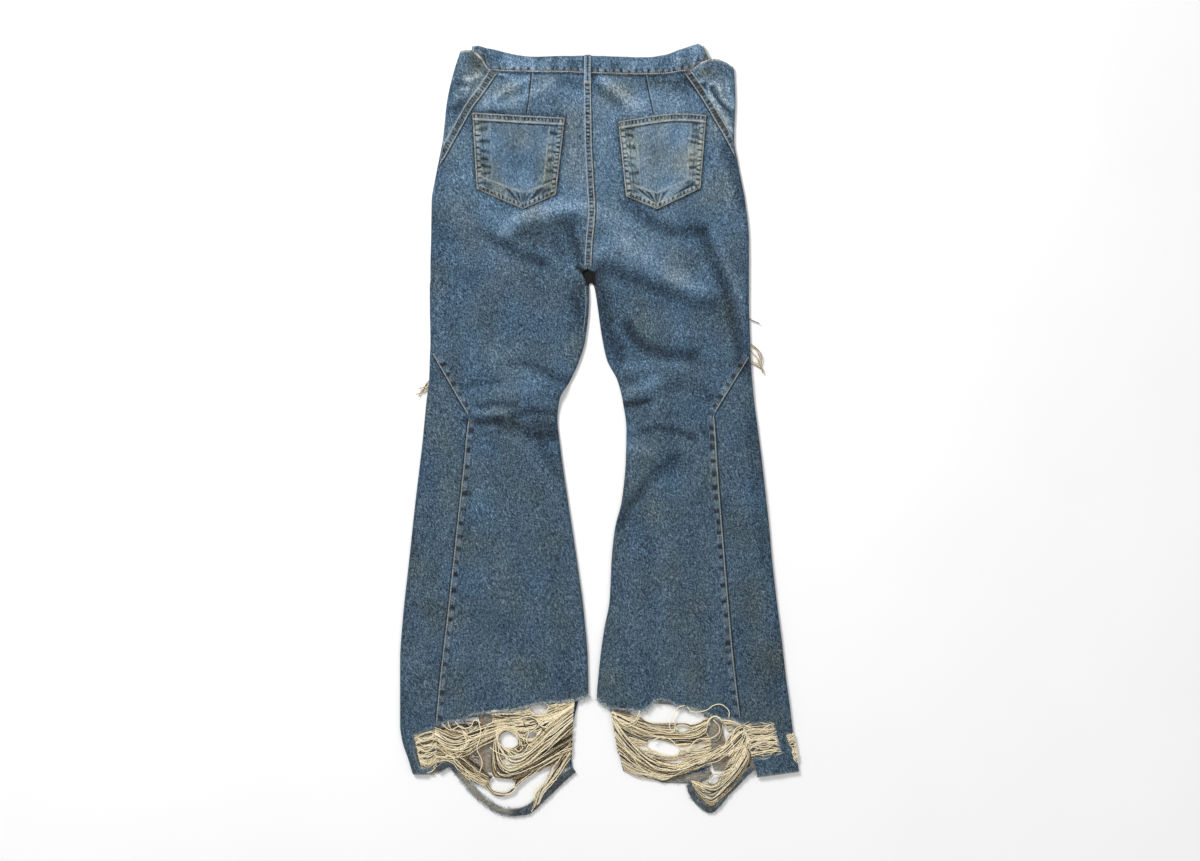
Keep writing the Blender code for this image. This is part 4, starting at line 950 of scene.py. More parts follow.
class Finish:
    """Short ways to add and join the nodes of a material."""

    def __init__(self, name, roughness, sheen=0.0, metallic=0.0):
        self.material = bpy.data.materials.new(name)
        self.material.use_nodes = True
        self.tree = self.material.node_tree
        self.surface = self.tree.nodes["Principled BSDF"]
        inputs = {
            "Roughness": roughness,
            "Metallic": metallic,
            "Sheen Weight": sheen,
            "Sheen Roughness": 0.6,
            "Specular IOR Level": 0.5 if metallic else 0.2,
        }
        for key, value in inputs.items():
            self.feed(self.surface.inputs[key], value)
        self.where = self.node("ShaderNodeTexCoord").outputs["Object"]

    def feed(self, socket, source):
        if isinstance(source, (int, float, tuple)):
            socket.default_value = source
        else:
            self.tree.links.new(source, socket)

    def node(self, kind, inputs=(), **settings):
        """A new node. Its inputs get numbers, colours or the outputs of other nodes."""
        made = self.tree.nodes.new(kind)
        for key, value in settings.items():
            setattr(made, key, value)
        for key, source in dict(inputs).items():
            self.feed(made.inputs[key], source)
        return made

    def maths(self, operation, *sources):
        return self.node("ShaderNodeMath", enumerate(sources), operation=operation).outputs[0]

    def line(self, source, slope, start):
        """source * slope + start"""
        return self.maths("MULTIPLY_ADD", source, slope, start)

    def plus(self, total, source, weight, middle=0.5):
        """total + (source - middle) * weight"""
        return self.maths("ADD", total, self.line(source, weight, -middle * weight))

    def mark(self, name):
        return self.node("ShaderNodeAttribute", attribute_name=name).outputs["Fac"]

    def turned(self, angle, stretch):
        """Coordinates in which things are drawn out along a line at that angle to the length."""
        inputs = {"Vector": self.where, "Rotation": (0, 0, radians(angle)), "Scale": (1.0, stretch, 1.0)}
        return self.node("ShaderNodeMapping", inputs, vector_type="TEXTURE").outputs["Vector"]

    def noise(self, where, size_mm, detail=2.0):
        inputs = {"Vector": where, "Scale": 1000 / size_mm, "Detail": detail}
        return self.node("ShaderNodeTexNoise", inputs).outputs["Fac"]

    def bands(self, where, pitch_mm):
        inputs = {"Vector": where, "Scale": 2 * pi / 20 * 1000 / pitch_mm, "Distortion": 1.5, "Detail": 1.0}
        return self.node("ShaderNodeTexWave", inputs, bands_direction="X").outputs["Fac"]

    def ramp(self, value, stops):
        made = self.node("ShaderNodeValToRGB", {"Fac": value})
        elements = made.color_ramp.elements
        while len(elements) < len(stops):
            elements.new(0.5)
        for element, (position, color) in zip(elements, stops):
            element.position = position
            element.color = linear(*color)
        return made.outputs["Color"]

    def mix(self, share, under, over):
        return self.node("ShaderNodeMix", {0: share, 6: under, 7: over}, data_type="RGBA").outputs[2]

    def color(self, source):
        self.feed(self.surface.inputs["Base Color"], source)

    def bump(self, height, depth_mm, strength=1.0):
        inputs = {"Height": height, "Distance": depth_mm * MM, "Strength": strength}
        self.feed(self.surface.inputs["Normal"], self.node("ShaderNodeBump", inputs).outputs["Normal"])


# The colours of each ramp: the place on it, and the colour as it looks on a screen.
# The denim's ramp, read by the tone, which also carries painted light and shade.
DYE = [
    (0.0, (14, 24, 36)), (0.22, (40, 60, 79)), (0.42, (66, 92, 112)), (0.62, (98, 126, 152)),
    (0.82, (139, 163, 186)), (1.0, (188, 200, 208)),
]
OLIVE = [
    (0.0, (22, 27, 28)), (0.25, (56, 65, 64)), (0.5, (92, 101, 96)), (0.8, (146, 150, 138)),
    (1.0, (184, 184, 168)),
]
LINING = [(0.0, (46, 48, 48)), (0.35, (110, 110, 104)), (0.6, (152, 146, 130)), (0.9, (192, 184, 164))]
# The dark end of the bare yarn's ramp also serves as painted shade for low and shadow yarns.
BARE_YARN = [(0.0, (38, 30, 20)), (0.25, (126, 104, 66)), (0.55, (216, 194, 146)), (0.85, (252, 240, 208))]
FRAY = [(0.0, (34, 52, 72)), (0.35, (92, 118, 138)), (0.6, (152, 170, 178)), (1.0, (216, 212, 194))]
THREAD = [
    (0.0, (168, 182, 182)), (0.25, (206, 202, 184)), (0.45, (184, 164, 138)), (0.7, (170, 130, 98)),
    (1.0, (186, 110, 68)),
]
COPPER = [(0.3, (96, 66, 44)), (0.55, (150, 104, 70)), (0.75, (196, 150, 110))]
PAPER = [(0.0, (246, 246, 246)), (1.0, (252, 252, 252))]
WORN_COLOR = (206, 204, 190)
# The near-black that the 'shade' mark paints as shadow.
SHADE_COLOR = (10, 12, 15)


def denim_finish(name, level, grain_weight=1.0):
    """Indigo warp over pale weft: slanting twill grain, a cloudy fade, and marks for wear and stains,
    and for painted light and shade: the tone along creases, and the near-black 'shade'.
    """
    finish = Finish(name, 0.88, sheen=0.1)
    grain = finish.noise(finish.turned(42, 3.2), 1.2, 1.0)
    speck = finish.noise(finish.where, 1.1, 1.0)
    warp = finish.noise(finish.turned(0, 5.0), 1.5, 1.0)
    cloud = finish.noise(finish.where, 22, 3.0)
    twill = finish.bands(finish.turned(-27, 1.0), 0.95)
    tone, inside = finish.mark("tone"), finish.mark("inside")

    value = finish.line(tone, 0.2, level)
    for pattern, weight in ((grain, 1.2), (speck, 0.5), (warp, 0.5)):
        value = finish.plus(value, pattern, weight * grain_weight)
    value = finish.plus(value, cloud, 0.1)
    stain = finish.maths("MULTIPLY", finish.mark("stain"), finish.line(cloud, 0.6, 0.5))
    stained = finish.maths("MINIMUM", stain, 0.9)
    color = finish.mix(stained, finish.ramp(value, DYE), finish.ramp(value, OLIVE))
    worn = finish.maths("MULTIPLY", finish.mark("worn"), finish.line(speck, 1.6, 0.2))
    color = finish.mix(finish.maths("MINIMUM", worn, 1.0), color, linear(*WORN_COLOR))
    weft = finish.noise(finish.turned(90, 5.0), 1.4, 1.0)
    pale = finish.line(tone, 0.12, finish.plus(finish.line(cloud, 0.3, 0.35), weft, 0.8))
    color = finish.mix(inside, color, finish.ramp(pale, LINING))
    # Painted shadow: where the 'shade' mark is 1 the colour turns near-black.
    finish.color(finish.mix(finish.mark("shade"), color, linear(*SHADE_COLOR)))
    finish.bump(finish.plus(finish.plus(grain, twill, 0.5), speck, 0.4), 0.5, 0.5)
    return finish.material


def strand_finish(name, roughness, sheen, stops, fluff, weight):
    """Yarn, frayed ends or thread: each strand's 'tint', uneven with fluff of one size and detail."""
    finish = Finish(name, roughness, sheen)
    value = finish.plus(finish.mark("tint"), finish.noise(finish.where, *fluff), weight)
    finish.color(finish.ramp(value, stops))
    return finish


def yarn_finish():
    """Bare cotton yarn, with its twist."""
    finish = strand_finish("bare_yarn", 0.95, 0.2, BARE_YARN, (1.8, 2.0), 0.9)
    finish.bump(finish.bands(finish.turned(30, 1.0), 1.1), 0.3, 0.6)
    return finish.material


def fray_finish():
    """Short frayed ends, from dyed warp to bare weft."""
    finish = strand_finish("fray", 0.95, 0.15, FRAY, (2.0, 1.0), 0.3)
    finish.bump(finish.noise(finish.where, 0.8, 1.0), 0.1, 0.4)
    return finish.material


def thread_finish():
    """Sewing thread, from cream through tan to orange."""
    finish = strand_finish("sewing_thread", 0.7, 0.1, THREAD, (4.0, 2.0), 0.35)
    finish.bump(finish.bands(finish.turned(25, 1.0), 0.5), 0.12, 0.6)
    return finish.material


def metal_finish():
    """Worn copper, rubbed bright on its high spots."""
    finish = Finish("worn_copper", 0.38, metallic=1.0)
    rub = finish.noise(finish.where, 3.0, 4.0)
    finish.color(finish.ramp(rub, COPPER))
    finish.feed(finish.surface.inputs["Roughness"], finish.line(rub, 0.4, 0.2))
    finish.bump(rub, 0.15, 0.5)
    return finish.material


def floor_finish():
    finish = Finish("floor", 0.95)
    finish.color(finish.ramp(finish.noise(finish.where, 300, 2.0), PAPER))
    return finish.material


# ---- Meshes -------------------------------------------------------------------------------------


def add_mesh(name, points, faces, finish, marks, sharp=50):
    """One piece from points in metres, faces, and a value of each mark at each point."""
    mesh = bpy.data.meshes.new(name)
    mesh.from_pydata(points.tolist(), [], [tuple(face) for face in faces])
    mesh.materials.append(finish)
    for key, values in marks.items():
        mesh.attributes.new(key, "FLOAT", "POINT").data.foreach_set("value", np.asarray(values, np.float32))
    mesh.polygons.foreach_set("use_smooth", np.ones(len(mesh.polygons), bool))
    mesh.update()
    mesh.set_sharp_from_angle(angle=radians(sharp))
    made = bpy.data.objects.new(name, mesh)
    bpy.context.scene.collection.objects.link(made)
    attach(made, "root")
    return made


def shell(name, middles, thick, outward, finish, marks, kept=None):
    """A closed wall of cloth on a grid of middle points in metres, with its right side facing `outward`.

    The wrong side gets the mark 'inside'. Cells that aren't kept leave holes with closed edges.
    """
    rows, columns = middles.shape[:2]
    along, aside = np.gradient(middles, axis=0), np.gradient(middles, axis=1)
    normal = np.cross(aside, along)
    normal /= np.linalg.norm(normal, axis=-1, keepdims=True)
    half = normal * thick * MM / 2
    size = rows * columns
    points = np.concatenate([(middles + half).reshape(size, 3), (middles - half).reshape(size, 3)])
    if kept is None:
        kept = np.ones((rows - 1, columns - 1), bool)
    index = np.arange(size).reshape(rows, columns)
    a, b, c, d = index[:-1, :-1], index[:-1, 1:], index[1:, 1:], index[1:, :-1]
    above = np.stack([a, b, c, d], axis=-1)[kept]
    below = np.stack([a, d, c, b], axis=-1)[kept] + size
    bordered = np.pad(kept, 1)
    neighbours = (bordered[:-2, 1:-1], bordered[1:-1, 2:], bordered[2:, 1:-1], bordered[1:-1, :-2])
    rims = []
    for (start, end), neighbour in zip(((a, b), (b, c), (c, d), (d, a)), neighbours):
        open_edge = kept & ~neighbour
        start, end = start[open_edge], end[open_edge]
        rims.append(np.stack([end, start, start + size, end + size], axis=-1))
    faces = np.concatenate([above, below] + rims)
    used, faces = np.unique(faces, return_inverse=True)
    faces = faces.reshape(-1, 4)
    all_marks = {}
    for key, value in marks.items():
        all_marks[key] = np.tile(np.broadcast_to(value, (rows, columns)).ravel(), 2)[used]
    is_below = (used >= size) if outward > 0 else (used < size)
    all_marks["inside"] = is_below * all_marks.pop("bare", 1.0)
    return add_mesh(name, points[used], faces, finish, all_marks)


def tubes(lines, radius, sides=4):
    """Round tubes along equally long rows of points in millimetres: points in metres and faces."""
    lines = np.asarray(lines, float)
    count, steps = lines.shape[:2]
    middles = place(lines[..., 0], lines[..., 1], lines[..., 2])
    along = np.gradient(middles, axis=1)
    along /= np.maximum(np.linalg.norm(along, axis=-1, keepdims=True), 1e-12)
    aside = np.cross(along, np.array([0.0, 0.0, 1.0]))
    length = np.linalg.norm(aside, axis=-1, keepdims=True)
    aside = np.where(length > 0.05, aside / np.maximum(length, 1e-9), np.array([1.0, 0.0, 0.0]))
    up = np.cross(aside, along)
    angle = 2 * pi * np.arange(sides) / sides
    wide = np.broadcast_to(radius, (count, steps))[..., None, None] * MM
    around = np.cos(angle)[:, None] * aside[:, :, None, :] + np.sin(angle)[:, None] * up[:, :, None, :]
    points = (middles[:, :, None, :] + wide * around).reshape(-1, 3)
    index = np.arange(count * steps * sides).reshape(count, steps, sides)
    turned = np.roll(index, -1, axis=2)
    walls = np.stack([index[:, :-1], index[:, 1:], turned[:, 1:], turned[:, :-1]], axis=-1).reshape(-1, 4)
    faces = walls.tolist() + index[:, 0].tolist() + index[:, -1, ::-1].tolist()
    return points, faces


class Joined:
    """Many small closed forms that become one piece."""

    def __init__(self, name, finish):
        self.name, self.finish = name, finish
        self.points, self.faces, self.tints = [], [], []
        self.size = 0

    def add(self, points, faces, tints):
        self.points.append(points)
        self.faces += [[k + self.size for k in face] for face in faces]
        self.tints.append(np.broadcast_to(tints, len(points)))
        self.size += len(points)

    def add_tubes(self, lines, radius, tints, sides=4):
        points, faces = tubes(lines, radius, sides)
        self.add(points, faces, np.repeat(tints, len(points) // len(tints)))

    def finished(self):
        tints = np.concatenate(self.tints)
        points = np.concatenate(self.points)
        return add_mesh(self.name, points, self.faces, self.finish, {"tint": tints}, sharp=180)


# ---- Panels -------------------------------------------------------------------------------------


def following(row_downs, top, bottom, cells_of):
    """A grid of places and heights whose first and last rows follow the top and bottom edges."""
    first, last = row_downs[0], row_downs[-1]
    base = row_downs[:, None]
    near_top = 1 - ease((base - first) / EDGE_REACH)
    near_bottom = 1 - ease((last - base) / EDGE_REACH)
    across, height = cells_of(base)
    down = np.broadcast_to(base, across.shape)
    for _ in range(3):
        down = base + (top(across) - first) * near_top + (bottom(across) - last) * near_bottom
        across, height = cells_of(down)
    return across, down, height


def cell_middles(grid):
    """The mean of each cell's four corners."""
    return (grid[:-1, :-1] + grid[1:, 1:] + grid[:-1, 1:] + grid[1:, :-1]) / 4


def snapped(outlines, across, down, allowed, reach):
    """The places, with those near an outline moved onto it."""
    across, down = across.copy(), down.copy()
    for outline in outlines:
        for (ax, ay), (bx, by) in zip(outline, outline[1:] + outline[:1]):
            run_x, run_y = bx - ax, by - ay
            share = np.clip(((across - ax) * run_x + (down - ay) * run_y) / (run_x**2 + run_y**2), 0, 1)
            x, y = ax + share * run_x, ay + share * run_y
            near = allowed & (np.hypot(across - x, down - y) < reach)
            across, down = np.where(near, x, across), np.where(near, y, down)
    return across, down


def back_panel(leg, finish):
    """The back of one leg with its half of the seat, from the waist seam to the torn edge."""
    band = Curve(WAISTBAND, "across", "bottom")
    across, down, height = following(
        BACK_ROWS,
        lambda x: band(x) + SEAM_GAP,
        lambda x: rim_down(leg.torn_edge, x) + 1.8 * RAGGED(x, 0 * x),
        leg.back_cells,
    )
    tone, stain = cloth_marks(across, down)
    from_outer = (leg.outer(down) - across) * leg.side
    from_inner = (across - leg.inner(down)) * leg.side
    # Painted shade: darker towards the outer fold, and towards the inner fold below the crotch.
    tone = tone - 0.35 * ease((10 - from_outer) / 10)
    tone = tone - 0.3 * ease((7 - from_inner) / 7) * ease((down - 380) / 60)
    # Painted shadow in a line under the waistband.
    tone = tone - 1.6 * near_line(down - band(across) - 1.5, 2.4)
    # Painted shadow in a line round each pocket.
    for outline in POCKET_OUTLINES:
        tone = tone - 1.5 * near_line(distance_to(outline, across, down, True), 3.4)
    from_tear = rim_down(leg.torn_edge, across) - down
    worn = 0.4 * ease((4.0 - from_tear) / 4.0) * (0.6 + 0.4 * RAGGED(across, down))
    # The 'shade' mark paints shadow in the crotch gap.
    marks = dye_and_shade_marks(tone, stain, worn, shade=crotch_shade(across, down))
    return shell(f"back_{leg.name}_cloth", place(across, down, height), CLOTH, -leg.side, finish, marks)


def front_panel(leg, finish):
    """The front of one leg, which wraps round the fold to the back at the hip and below the knee."""
    fold_column = len(EDGE_STEPS) + BENEATH_COLUMNS
    beneath = np.arange(fold_column + WRAP_COLUMNS) < fold_column

    def edge(under, upper):
        return lambda x: np.where(beneath, rim_down(under, x), rim_down(upper, x))

    across, down, height = following(
        FRONT_ROWS,
        edge(leg.front_top, leg.mouth),
        edge(leg.under_hem, leg.hem),
        leg.front_cells,
    )
    beneath_cells = np.broadcast_to(beneath, across.shape)
    across, down = snapped(leg.windows, across, down, ~beneath_cells & (height > FOLD_MIDDLE), WINDOW_SNAP)
    across, down = snapped(leg.under_windows, across, down, beneath_cells, UNDER_WINDOW_SNAP)
    middle_across, middle_down = cell_middles(across), cell_middles(down)
    middle_height = (height[:-1, :-1] + height[1:, 1:]) / 2
    kept = np.ones(middle_across.shape, bool)
    for outline in leg.windows:
        kept &= ~(is_inside(outline, middle_across, middle_down) & (middle_height > FOLD_MIDDLE))
    for outline in leg.under_windows:
        kept &= ~(is_inside(outline, middle_across, middle_down) & (middle_height < FOLD_MIDDLE))

    on_top = ease((height - FOLD_MIDDLE) / 1.5 + 0.5)
    tone, stain = (
        hidden + (shown - hidden) * on_top
        for shown, hidden in zip(cloth_marks(across, down), front_marks(across, down))
    )
    # Painted shade, darker towards the outer fold.
    tone = tone - 0.35 * ease((10 - (leg.outer(down) - across) * leg.side) / 10)
    from_mouth = down - rim_down(leg.mouth, across)
    worn = 0.8 * on_top * ease((3.0 - from_mouth) / 2.0) * (0.6 + 0.4 * RAGGED(across, down))
    for outline in leg.windows:
        worn = worn + 0.15 * on_top * ease((4 - distance_to(outline, across, down, True)) / 4)
    from_hem = np.abs(down - rim_down(leg.hem, across))
    worn = worn + 0.3 * on_top * ease((down - 1126) / 4) * ease((3 - from_hem) / 3)
    # Painted shadow at the crotch, seen through the gap between the legs.
    crotch = ease((16 - np.abs(across)) / 6) * ease((down - 335) / 6) * ease((380 - down) / 6)
    from_fold = np.minimum(np.abs(across - leg.under(down)), np.abs(across - leg.outer(down)))
    marks = dye_and_shade_marks(tone, stain, worn, shade=crotch, bare=ease((from_fold - 3.5) / 2))
    middles = place(across, down, height)
    return shell(f"front_{leg.name}_cloth", middles, CLOTH, leg.side, finish, marks, kept)


def fly_facing(finish):
    """The facing behind the zip, hidden between the front and the back: straight at its top and left."""
    share, down = np.meshgrid(np.linspace(0, 1, 22), np.linspace(63, FLY_DOWN, 60))
    right = np.interp(down, [63, 160, 188, FLY_DOWN], [34, 34, 24, 7])
    across = FLY_LEFT + (right - FLY_LEFT) * share
    edge = np.minimum(right - across, FLY_DOWN - down)
    marks = dye_and_shade_marks(0.4 + 0.15 * TONE_WAVES(across, down), 0.1, 0.4 * ease((2 - edge) / 2))
    height = CLOTH * 1.5 + SEAM_GAP + 0.1 * RIPPLES(across, down)
    return shell("fly_facing_cloth", place(across, down, height), CLOTH, -1, finish, marks)


def crotch_seam(finish):
    """Where the four seams meet: a strip painted near-black as shadow, seen through the gap between the
    legs.
    """
    across, down = np.meshgrid(np.linspace(-9, 11, 9), np.linspace(338, 371, 14))
    marks = dye_and_shade_marks(-2.0, shade=1.0)
    height = 1.9 + 0.1 * RIPPLES(across, down)
    return shell("crotch_seam_shadow_cloth", place(across, down, height), STRIP_THICK, -1, finish, marks)


# ---- Pockets ------------------------------------------------------------------------------------


class Pocket:
    """A patch pocket lying on the back panel."""

    def __init__(self, leg, corners, bow, tone, stain, patches):
        self.leg, self.bow, self.tone, self.stain, self.patches = leg, bow, tone, stain, patches
        self.top_left, self.top_right, self.low_right, self.tip, self.low_left = corners
        low_width = self.low_right.across - self.low_left.across
        self.tip_share = (self.tip.across - self.low_left.across) / low_width
        self.width = self.top_right.across - self.top_left.across

    def place_at(self, u, v):
        """Across and down, from the share of the way across and down the pocket."""
        left = self.top_left.across + (self.low_left.across - self.top_left.across) * v
        right = self.top_right.across + (self.low_right.across - self.top_right.across) * v
        above = self.top_left.down + (self.top_right.down - self.top_left.down) * u
        above = above - self.bow * np.sin(pi * u) * (1 - 0.25 * np.cos(pi * u))
        to_tip = self.low_left.down + (self.tip.down - self.low_left.down) * u / self.tip_share
        past_tip = (u - self.tip_share) / (1 - self.tip_share)
        from_tip = self.tip.down + (self.low_right.down - self.tip.down) * past_tip
        beneath = np.where(u <= self.tip_share, to_tip, from_tip)
        return left + (right - left) * u, above + (beneath - above) * v

    def edges(self, u, v):
        """The distances to the left, right, top and bottom edges."""
        across, down = self.place_at(u, v)
        left = across - self.place_at(0 * u, v)[0]
        right = self.place_at(0 * u + 1, v)[0] - across
        top = down - self.place_at(u, 0 * v)[1]
        left_slope = (self.tip.down - self.low_left.down) / (self.tip.across - self.low_left.across)
        right_slope = (self.tip.down - self.low_right.down) / (self.low_right.across - self.tip.across)
        slope = np.where(u <= self.tip_share, left_slope, right_slope)
        bottom = (self.place_at(u, 0 * v + 1)[1] - down) * np.cos(np.arctan(slope))
        return left, right, top, bottom

    def height_at(self, across, down):
        return self.leg.lift(across, down) + CLOTH + SEAM_GAP + POCKET_SLACK

    def build(self, finish, seed):
        half = np.linspace(0, 1, 64)
        u = np.concatenate([half * self.tip_share, self.tip_share + half[1:] * (1 - self.tip_share)])
        u, v = np.meshgrid(u, np.linspace(0, 1, 120))
        across, down = self.place_at(u, v)
        left, right, top, bottom = self.edges(u, v)
        side = np.minimum(left, right)
        nearest = np.minimum.reduce([side, top, bottom])
        below_band = ease((top - 13) / 2)

        top_ticks = ticks(across, top, (4.4, 6.4), 1.35, (2.6, 7.6), seed)
        left_ticks = ticks(down, left, (5.5, 11.0), 1.5, (2.4, 9.5), seed + 1) * below_band
        right_ticks = ticks(down, right, (5.0, 10.0), 1.5, (2.4, 9.0), seed + 2) * below_band
        low_ticks = ticks(across, bottom, (4.6, 7.4), 1.5, (2.4, 7.0), seed + 3) * ease((side - 3) / 2)
        puckers = np.maximum.reduce([top_ticks, left_ticks, right_ticks, low_ticks])
        wide_left = ticks(down, left, (9.0, 18.0), 3.0, (8.0, 24.0), seed + 4) * below_band
        wide_right = ticks(down, right, (9.0, 18.0), 3.0, (8.0, 22.0), seed + 5) * below_band
        fan = np.arctan2(across - self.tip.across, self.tip.down - 4 - down)
        wide_low = ticks(fan * 26, bottom, (6.0, 13.0), 2.4, (8.0, 22.0), seed + 6) * ease((side - 8) / 4)
        wide = np.maximum.reduce([wide_left, wide_right, 1.5 * wide_low])

        inner = ease((side - 16) / 3) * below_band
        left_line = near_line(left - 25.5, 0.9) * below_band * ease((bottom - 22) / 4)
        right_line = near_line(right - 22, 0.9) * below_band * ease((bottom - 22) / 4)
        low_line = near_line(bottom - 23 + 5 * np.abs(u - self.tip_share), 1.1) * ease((side - 7) / 3)
        stitched = near_line(side - 13.6, 0.6) * below_band * ease((bottom - 10) / 4)
        rope = near_line(top - 9.8, 1.3)
        # Painted shadow beneath the top band's rope.
        under_rope = near_line(top - 12.6, 1.3)
        rim = near_line(nearest - 2.4, 0.7)
        rolled = ease((1.5 - nearest) / 1.5)

        allowance = ease((14 - np.minimum(side, bottom)) / 2)
        height = self.height_at(across, down) + 0.3 * allowance - 0.55 * puckers - 0.3 * wide - 0.5 * rolled
        height = height + 0.55 * rope + 0.35 * ease((9 - top) / 2) - 0.25 * stitched
        height = height + 0.25 * (left_line + right_line + low_line)
        height = height + 0.25 * RIPPLES(across * 1.3, down * 1.3)

        frame_share = np.maximum(ease((25 - side) / 3), ease((24 - bottom) / 3)) * below_band
        ridge = ease((nearest - 2) / 1.0) * ease((9.5 - np.minimum(side, bottom)) / 2)
        spots, spot_stains = patched(self.patches, across, down)
        tone = self.tone + spots + 0.12 * TONE_WAVES(across * 1.5, down * 1.5) + 0.3 * frame_share
        # Of these, the darkening by under_rope is painted shadow.
        tone = tone - 3.8 * puckers - 2.0 * wide - 1.4 * stitched - 2.4 * under_rope - 1.5 * rim
        tone = tone + 0.45 * ridge * (1 - puckers)
        stain = self.stain + spot_stains + 0.3 * frame_share + 0.15 * STAIN_WAVES(across * 1.3, down * 1.3)
        stain = stain - 0.15 * inner
        uneven = 0.85 + 0.15 * RAGGED(across, down)
        worn = 0.2 * (left_line + right_line + 1.5 * low_line) * uneven
        worn = worn + 0.2 * rolled + 0.42 * rope * uneven
        worn = worn + (0.1 * ridge + 0.1 * ease((8 - top) / 2)) * (1 - puckers) * (1 - rim) * uneven
        marks = dye_and_shade_marks(tone, stain, worn)
        return shell(f"pocket_{self.leg.name}_cloth", place(across, down, height), CLOTH, -1, finish, marks)

    def stitch_lines(self):
        """The rows of stitches, in millimetres, with the tint along each."""
        t = np.linspace(0, 1, 120)
        inset = 1.4 / self.width
        side_tint = 0.45 + 0.5 * ease((0.14 - t) / 0.08)
        ends = np.maximum(ease((0.12 - t) / 0.05), ease((t - 0.88) / 0.05))
        over, along = t * 0.985 + 0.008, t * 0.985 + 0.01
        for u, v, tint in (
            (inset, along, side_tint),
            (1 - inset, along, side_tint),
            (over, 0.011, 0.4 + 0.55 * ends),
            (over, 0.985, 0.45),
            (over, 0.078, 0.1),
        ):
            across, down = self.place_at(u + 0 * t, v + 0 * t)
            yield across, down, self.height_at(across, down) + CLOTH / 2 + 0.25, tint


# ---- Waistband and belt loops -------------------------------------------------------------------


def waistband_line():
    """The waistband seen from its end: across, height and whether it is on the back, from one front end."""
    low, high, over_button, inner_end = 1.0, BAND_HEIGHT, 2.8, 5.1
    left, right = WAISTBAND[0].across, WAISTBAND[-1].across
    reach, middle = (high - low) / 2, (high + low) / 2
    path = [(16, over_button, 0), (-14, over_button, 0), (-30, 2.0, 0)]
    path += [(across, low, 0) for across in (-50, -120, -160)]
    for turn in range(0, 181, 30):
        angle = radians(turn)
        bulge, rise = reach * np.sin(angle), reach * np.cos(angle)
        path.append((left + reach - bulge, middle - rise, float(turn > 90)))
    for across in np.arange(-171, 177, 6.0):
        path.append((across, high + BAND_RISE * bell(abs(across) / 75), 1))
    for turn in range(180, -1, -30):
        angle = radians(turn)
        bulge, rise = reach * np.sin(angle), reach * np.cos(angle)
        path.append((right - reach + bulge, middle - rise, float(turn > 90)))
    path += [(across, low, 0) for across in (160, 120, 75)]
    path += [(50, 2.4, 0), (30, inner_end, 0), (-14, inner_end, 0)]
    return np.array(path, float)


def waistband(finish):
    """One band all round, whose ends overlap at the centre front."""
    path = waistband_line()
    length = line_length(path[:, :2])
    count = int(length / 1.9)
    walked = np.concatenate([[0.0], np.cumsum(np.linalg.norm(np.diff(path[:, :2], axis=0), axis=1))])
    at = np.linspace(0, walked[-1], count)
    across, height, is_back = (np.interp(at, walked, path[:, k])[:, None] for k in range(3))
    share = np.linspace(0, 1, 21)[None, :]
    dip = FRONT_DIP * (1 - ease((np.abs(across) - 120) / 60)) * (is_back < 0.5)
    top = Curve(WAISTBAND, "across", "top")(across) + dip
    bottom = Curve(WAISTBAND, "across", "bottom")(across) + dip
    lean = RIGHT_END_LEAN * ease((across - 165) / 15)
    down = top + (bottom - top) * share
    across = across + lean * (share - 0.5)
    above_seam = bottom - down
    along = np.broadcast_to(at[:, None], down.shape)
    puckers = ticks(along, above_seam, (8.0, 13.0), 2.4, (2.6, 8.5), WAISTBAND_SEED) * is_back
    height = height + np.where(is_back > 0.5, 0.35 * RIPPLES(across, down) - 0.6 * puckers, 0.0)
    height = height - 0.5 * is_back * (ease((1.5 - above_seam) / 1.5) + ease((1.5 - (down - top)) / 1.5))
    spots, spot_stains = patched(WAIST_PATCHES, across, down)
    tone = 0.95 + (spots + 0.3 * TONE_WAVES(across * 1.8, down * 1.8)) * is_back - 2.4 * puckers
    tone = tone - 0.4 * ease((4 - (down - top)) / 4) - 1.6 * near_line(above_seam - 2.8, 0.9) * is_back
    # Painted shadow on the waistband either side of the belt loop.
    tone = tone - 1.6 * near_line(np.abs(across + 0.6) - 6.4, 1.3) * is_back
    ridge = ease((above_seam - 1.5) / 1.0) * ease((9 - above_seam) / 3)
    worn = 0.15 * ridge * (1 - puckers) * is_back * (0.75 + 0.25 * RAGGED(across, down))
    worn = worn + 0.3 * ease((1.2 - (down - top)) / 1.2)
    stain = spot_stains * is_back + 0.05 * STAIN_WAVES(across, down)
    marks = dye_and_shade_marks(tone, stain, worn)
    return shell("waistband_cloth", place(across, down, height), WAISTBAND_THICK, 1, finish, marks)


def back_belt_loop(finish):
    """The belt loop at the centre back, from above the waistband to the seat."""
    offset, down = np.meshgrid(np.linspace(-LOOP_WIDTH / 2, LOOP_WIDTH / 2, 17), np.linspace(18, 62, 60))
    edge = LOOP_WIDTH / 2 - np.abs(offset)
    across = offset + LOOP_ACROSS + 0.3 * np.sin(down / 9)
    height = LOOP_HEIGHT + 0.25 * np.sin((down - 18) / 44 * pi) - 0.55 * ease((1.2 - edge) / 1.2)
    groove = near_line(edge - 2.3, 0.5)
    height = height - 0.25 * groove - 0.8 * ease((20 - down) / 2) - 0.6 * ease((down - 60) / 2)
    puckers = ticks(down, edge, (4.0, 7.0), 1.0, (0.8, 3.4), LOOP_SEED)
    height = height - 0.25 * puckers
    middle = near_line(offset, 1.1)
    tone = 1.3 - 0.9 * groove - 1.1 * puckers - 2.0 * middle + 0.2 * TONE_WAVES(across * 2, down * 2)
    worn = 0.35 * ease((1.2 - edge) / 1.0) + 0.35 * ease((down - 57) / 3)
    marks = dye_and_shade_marks(tone, 0.1, worn)
    return shell("belt_loop_back_cloth", place(across, down, height), LOOP_THICK, -1, finish, marks)


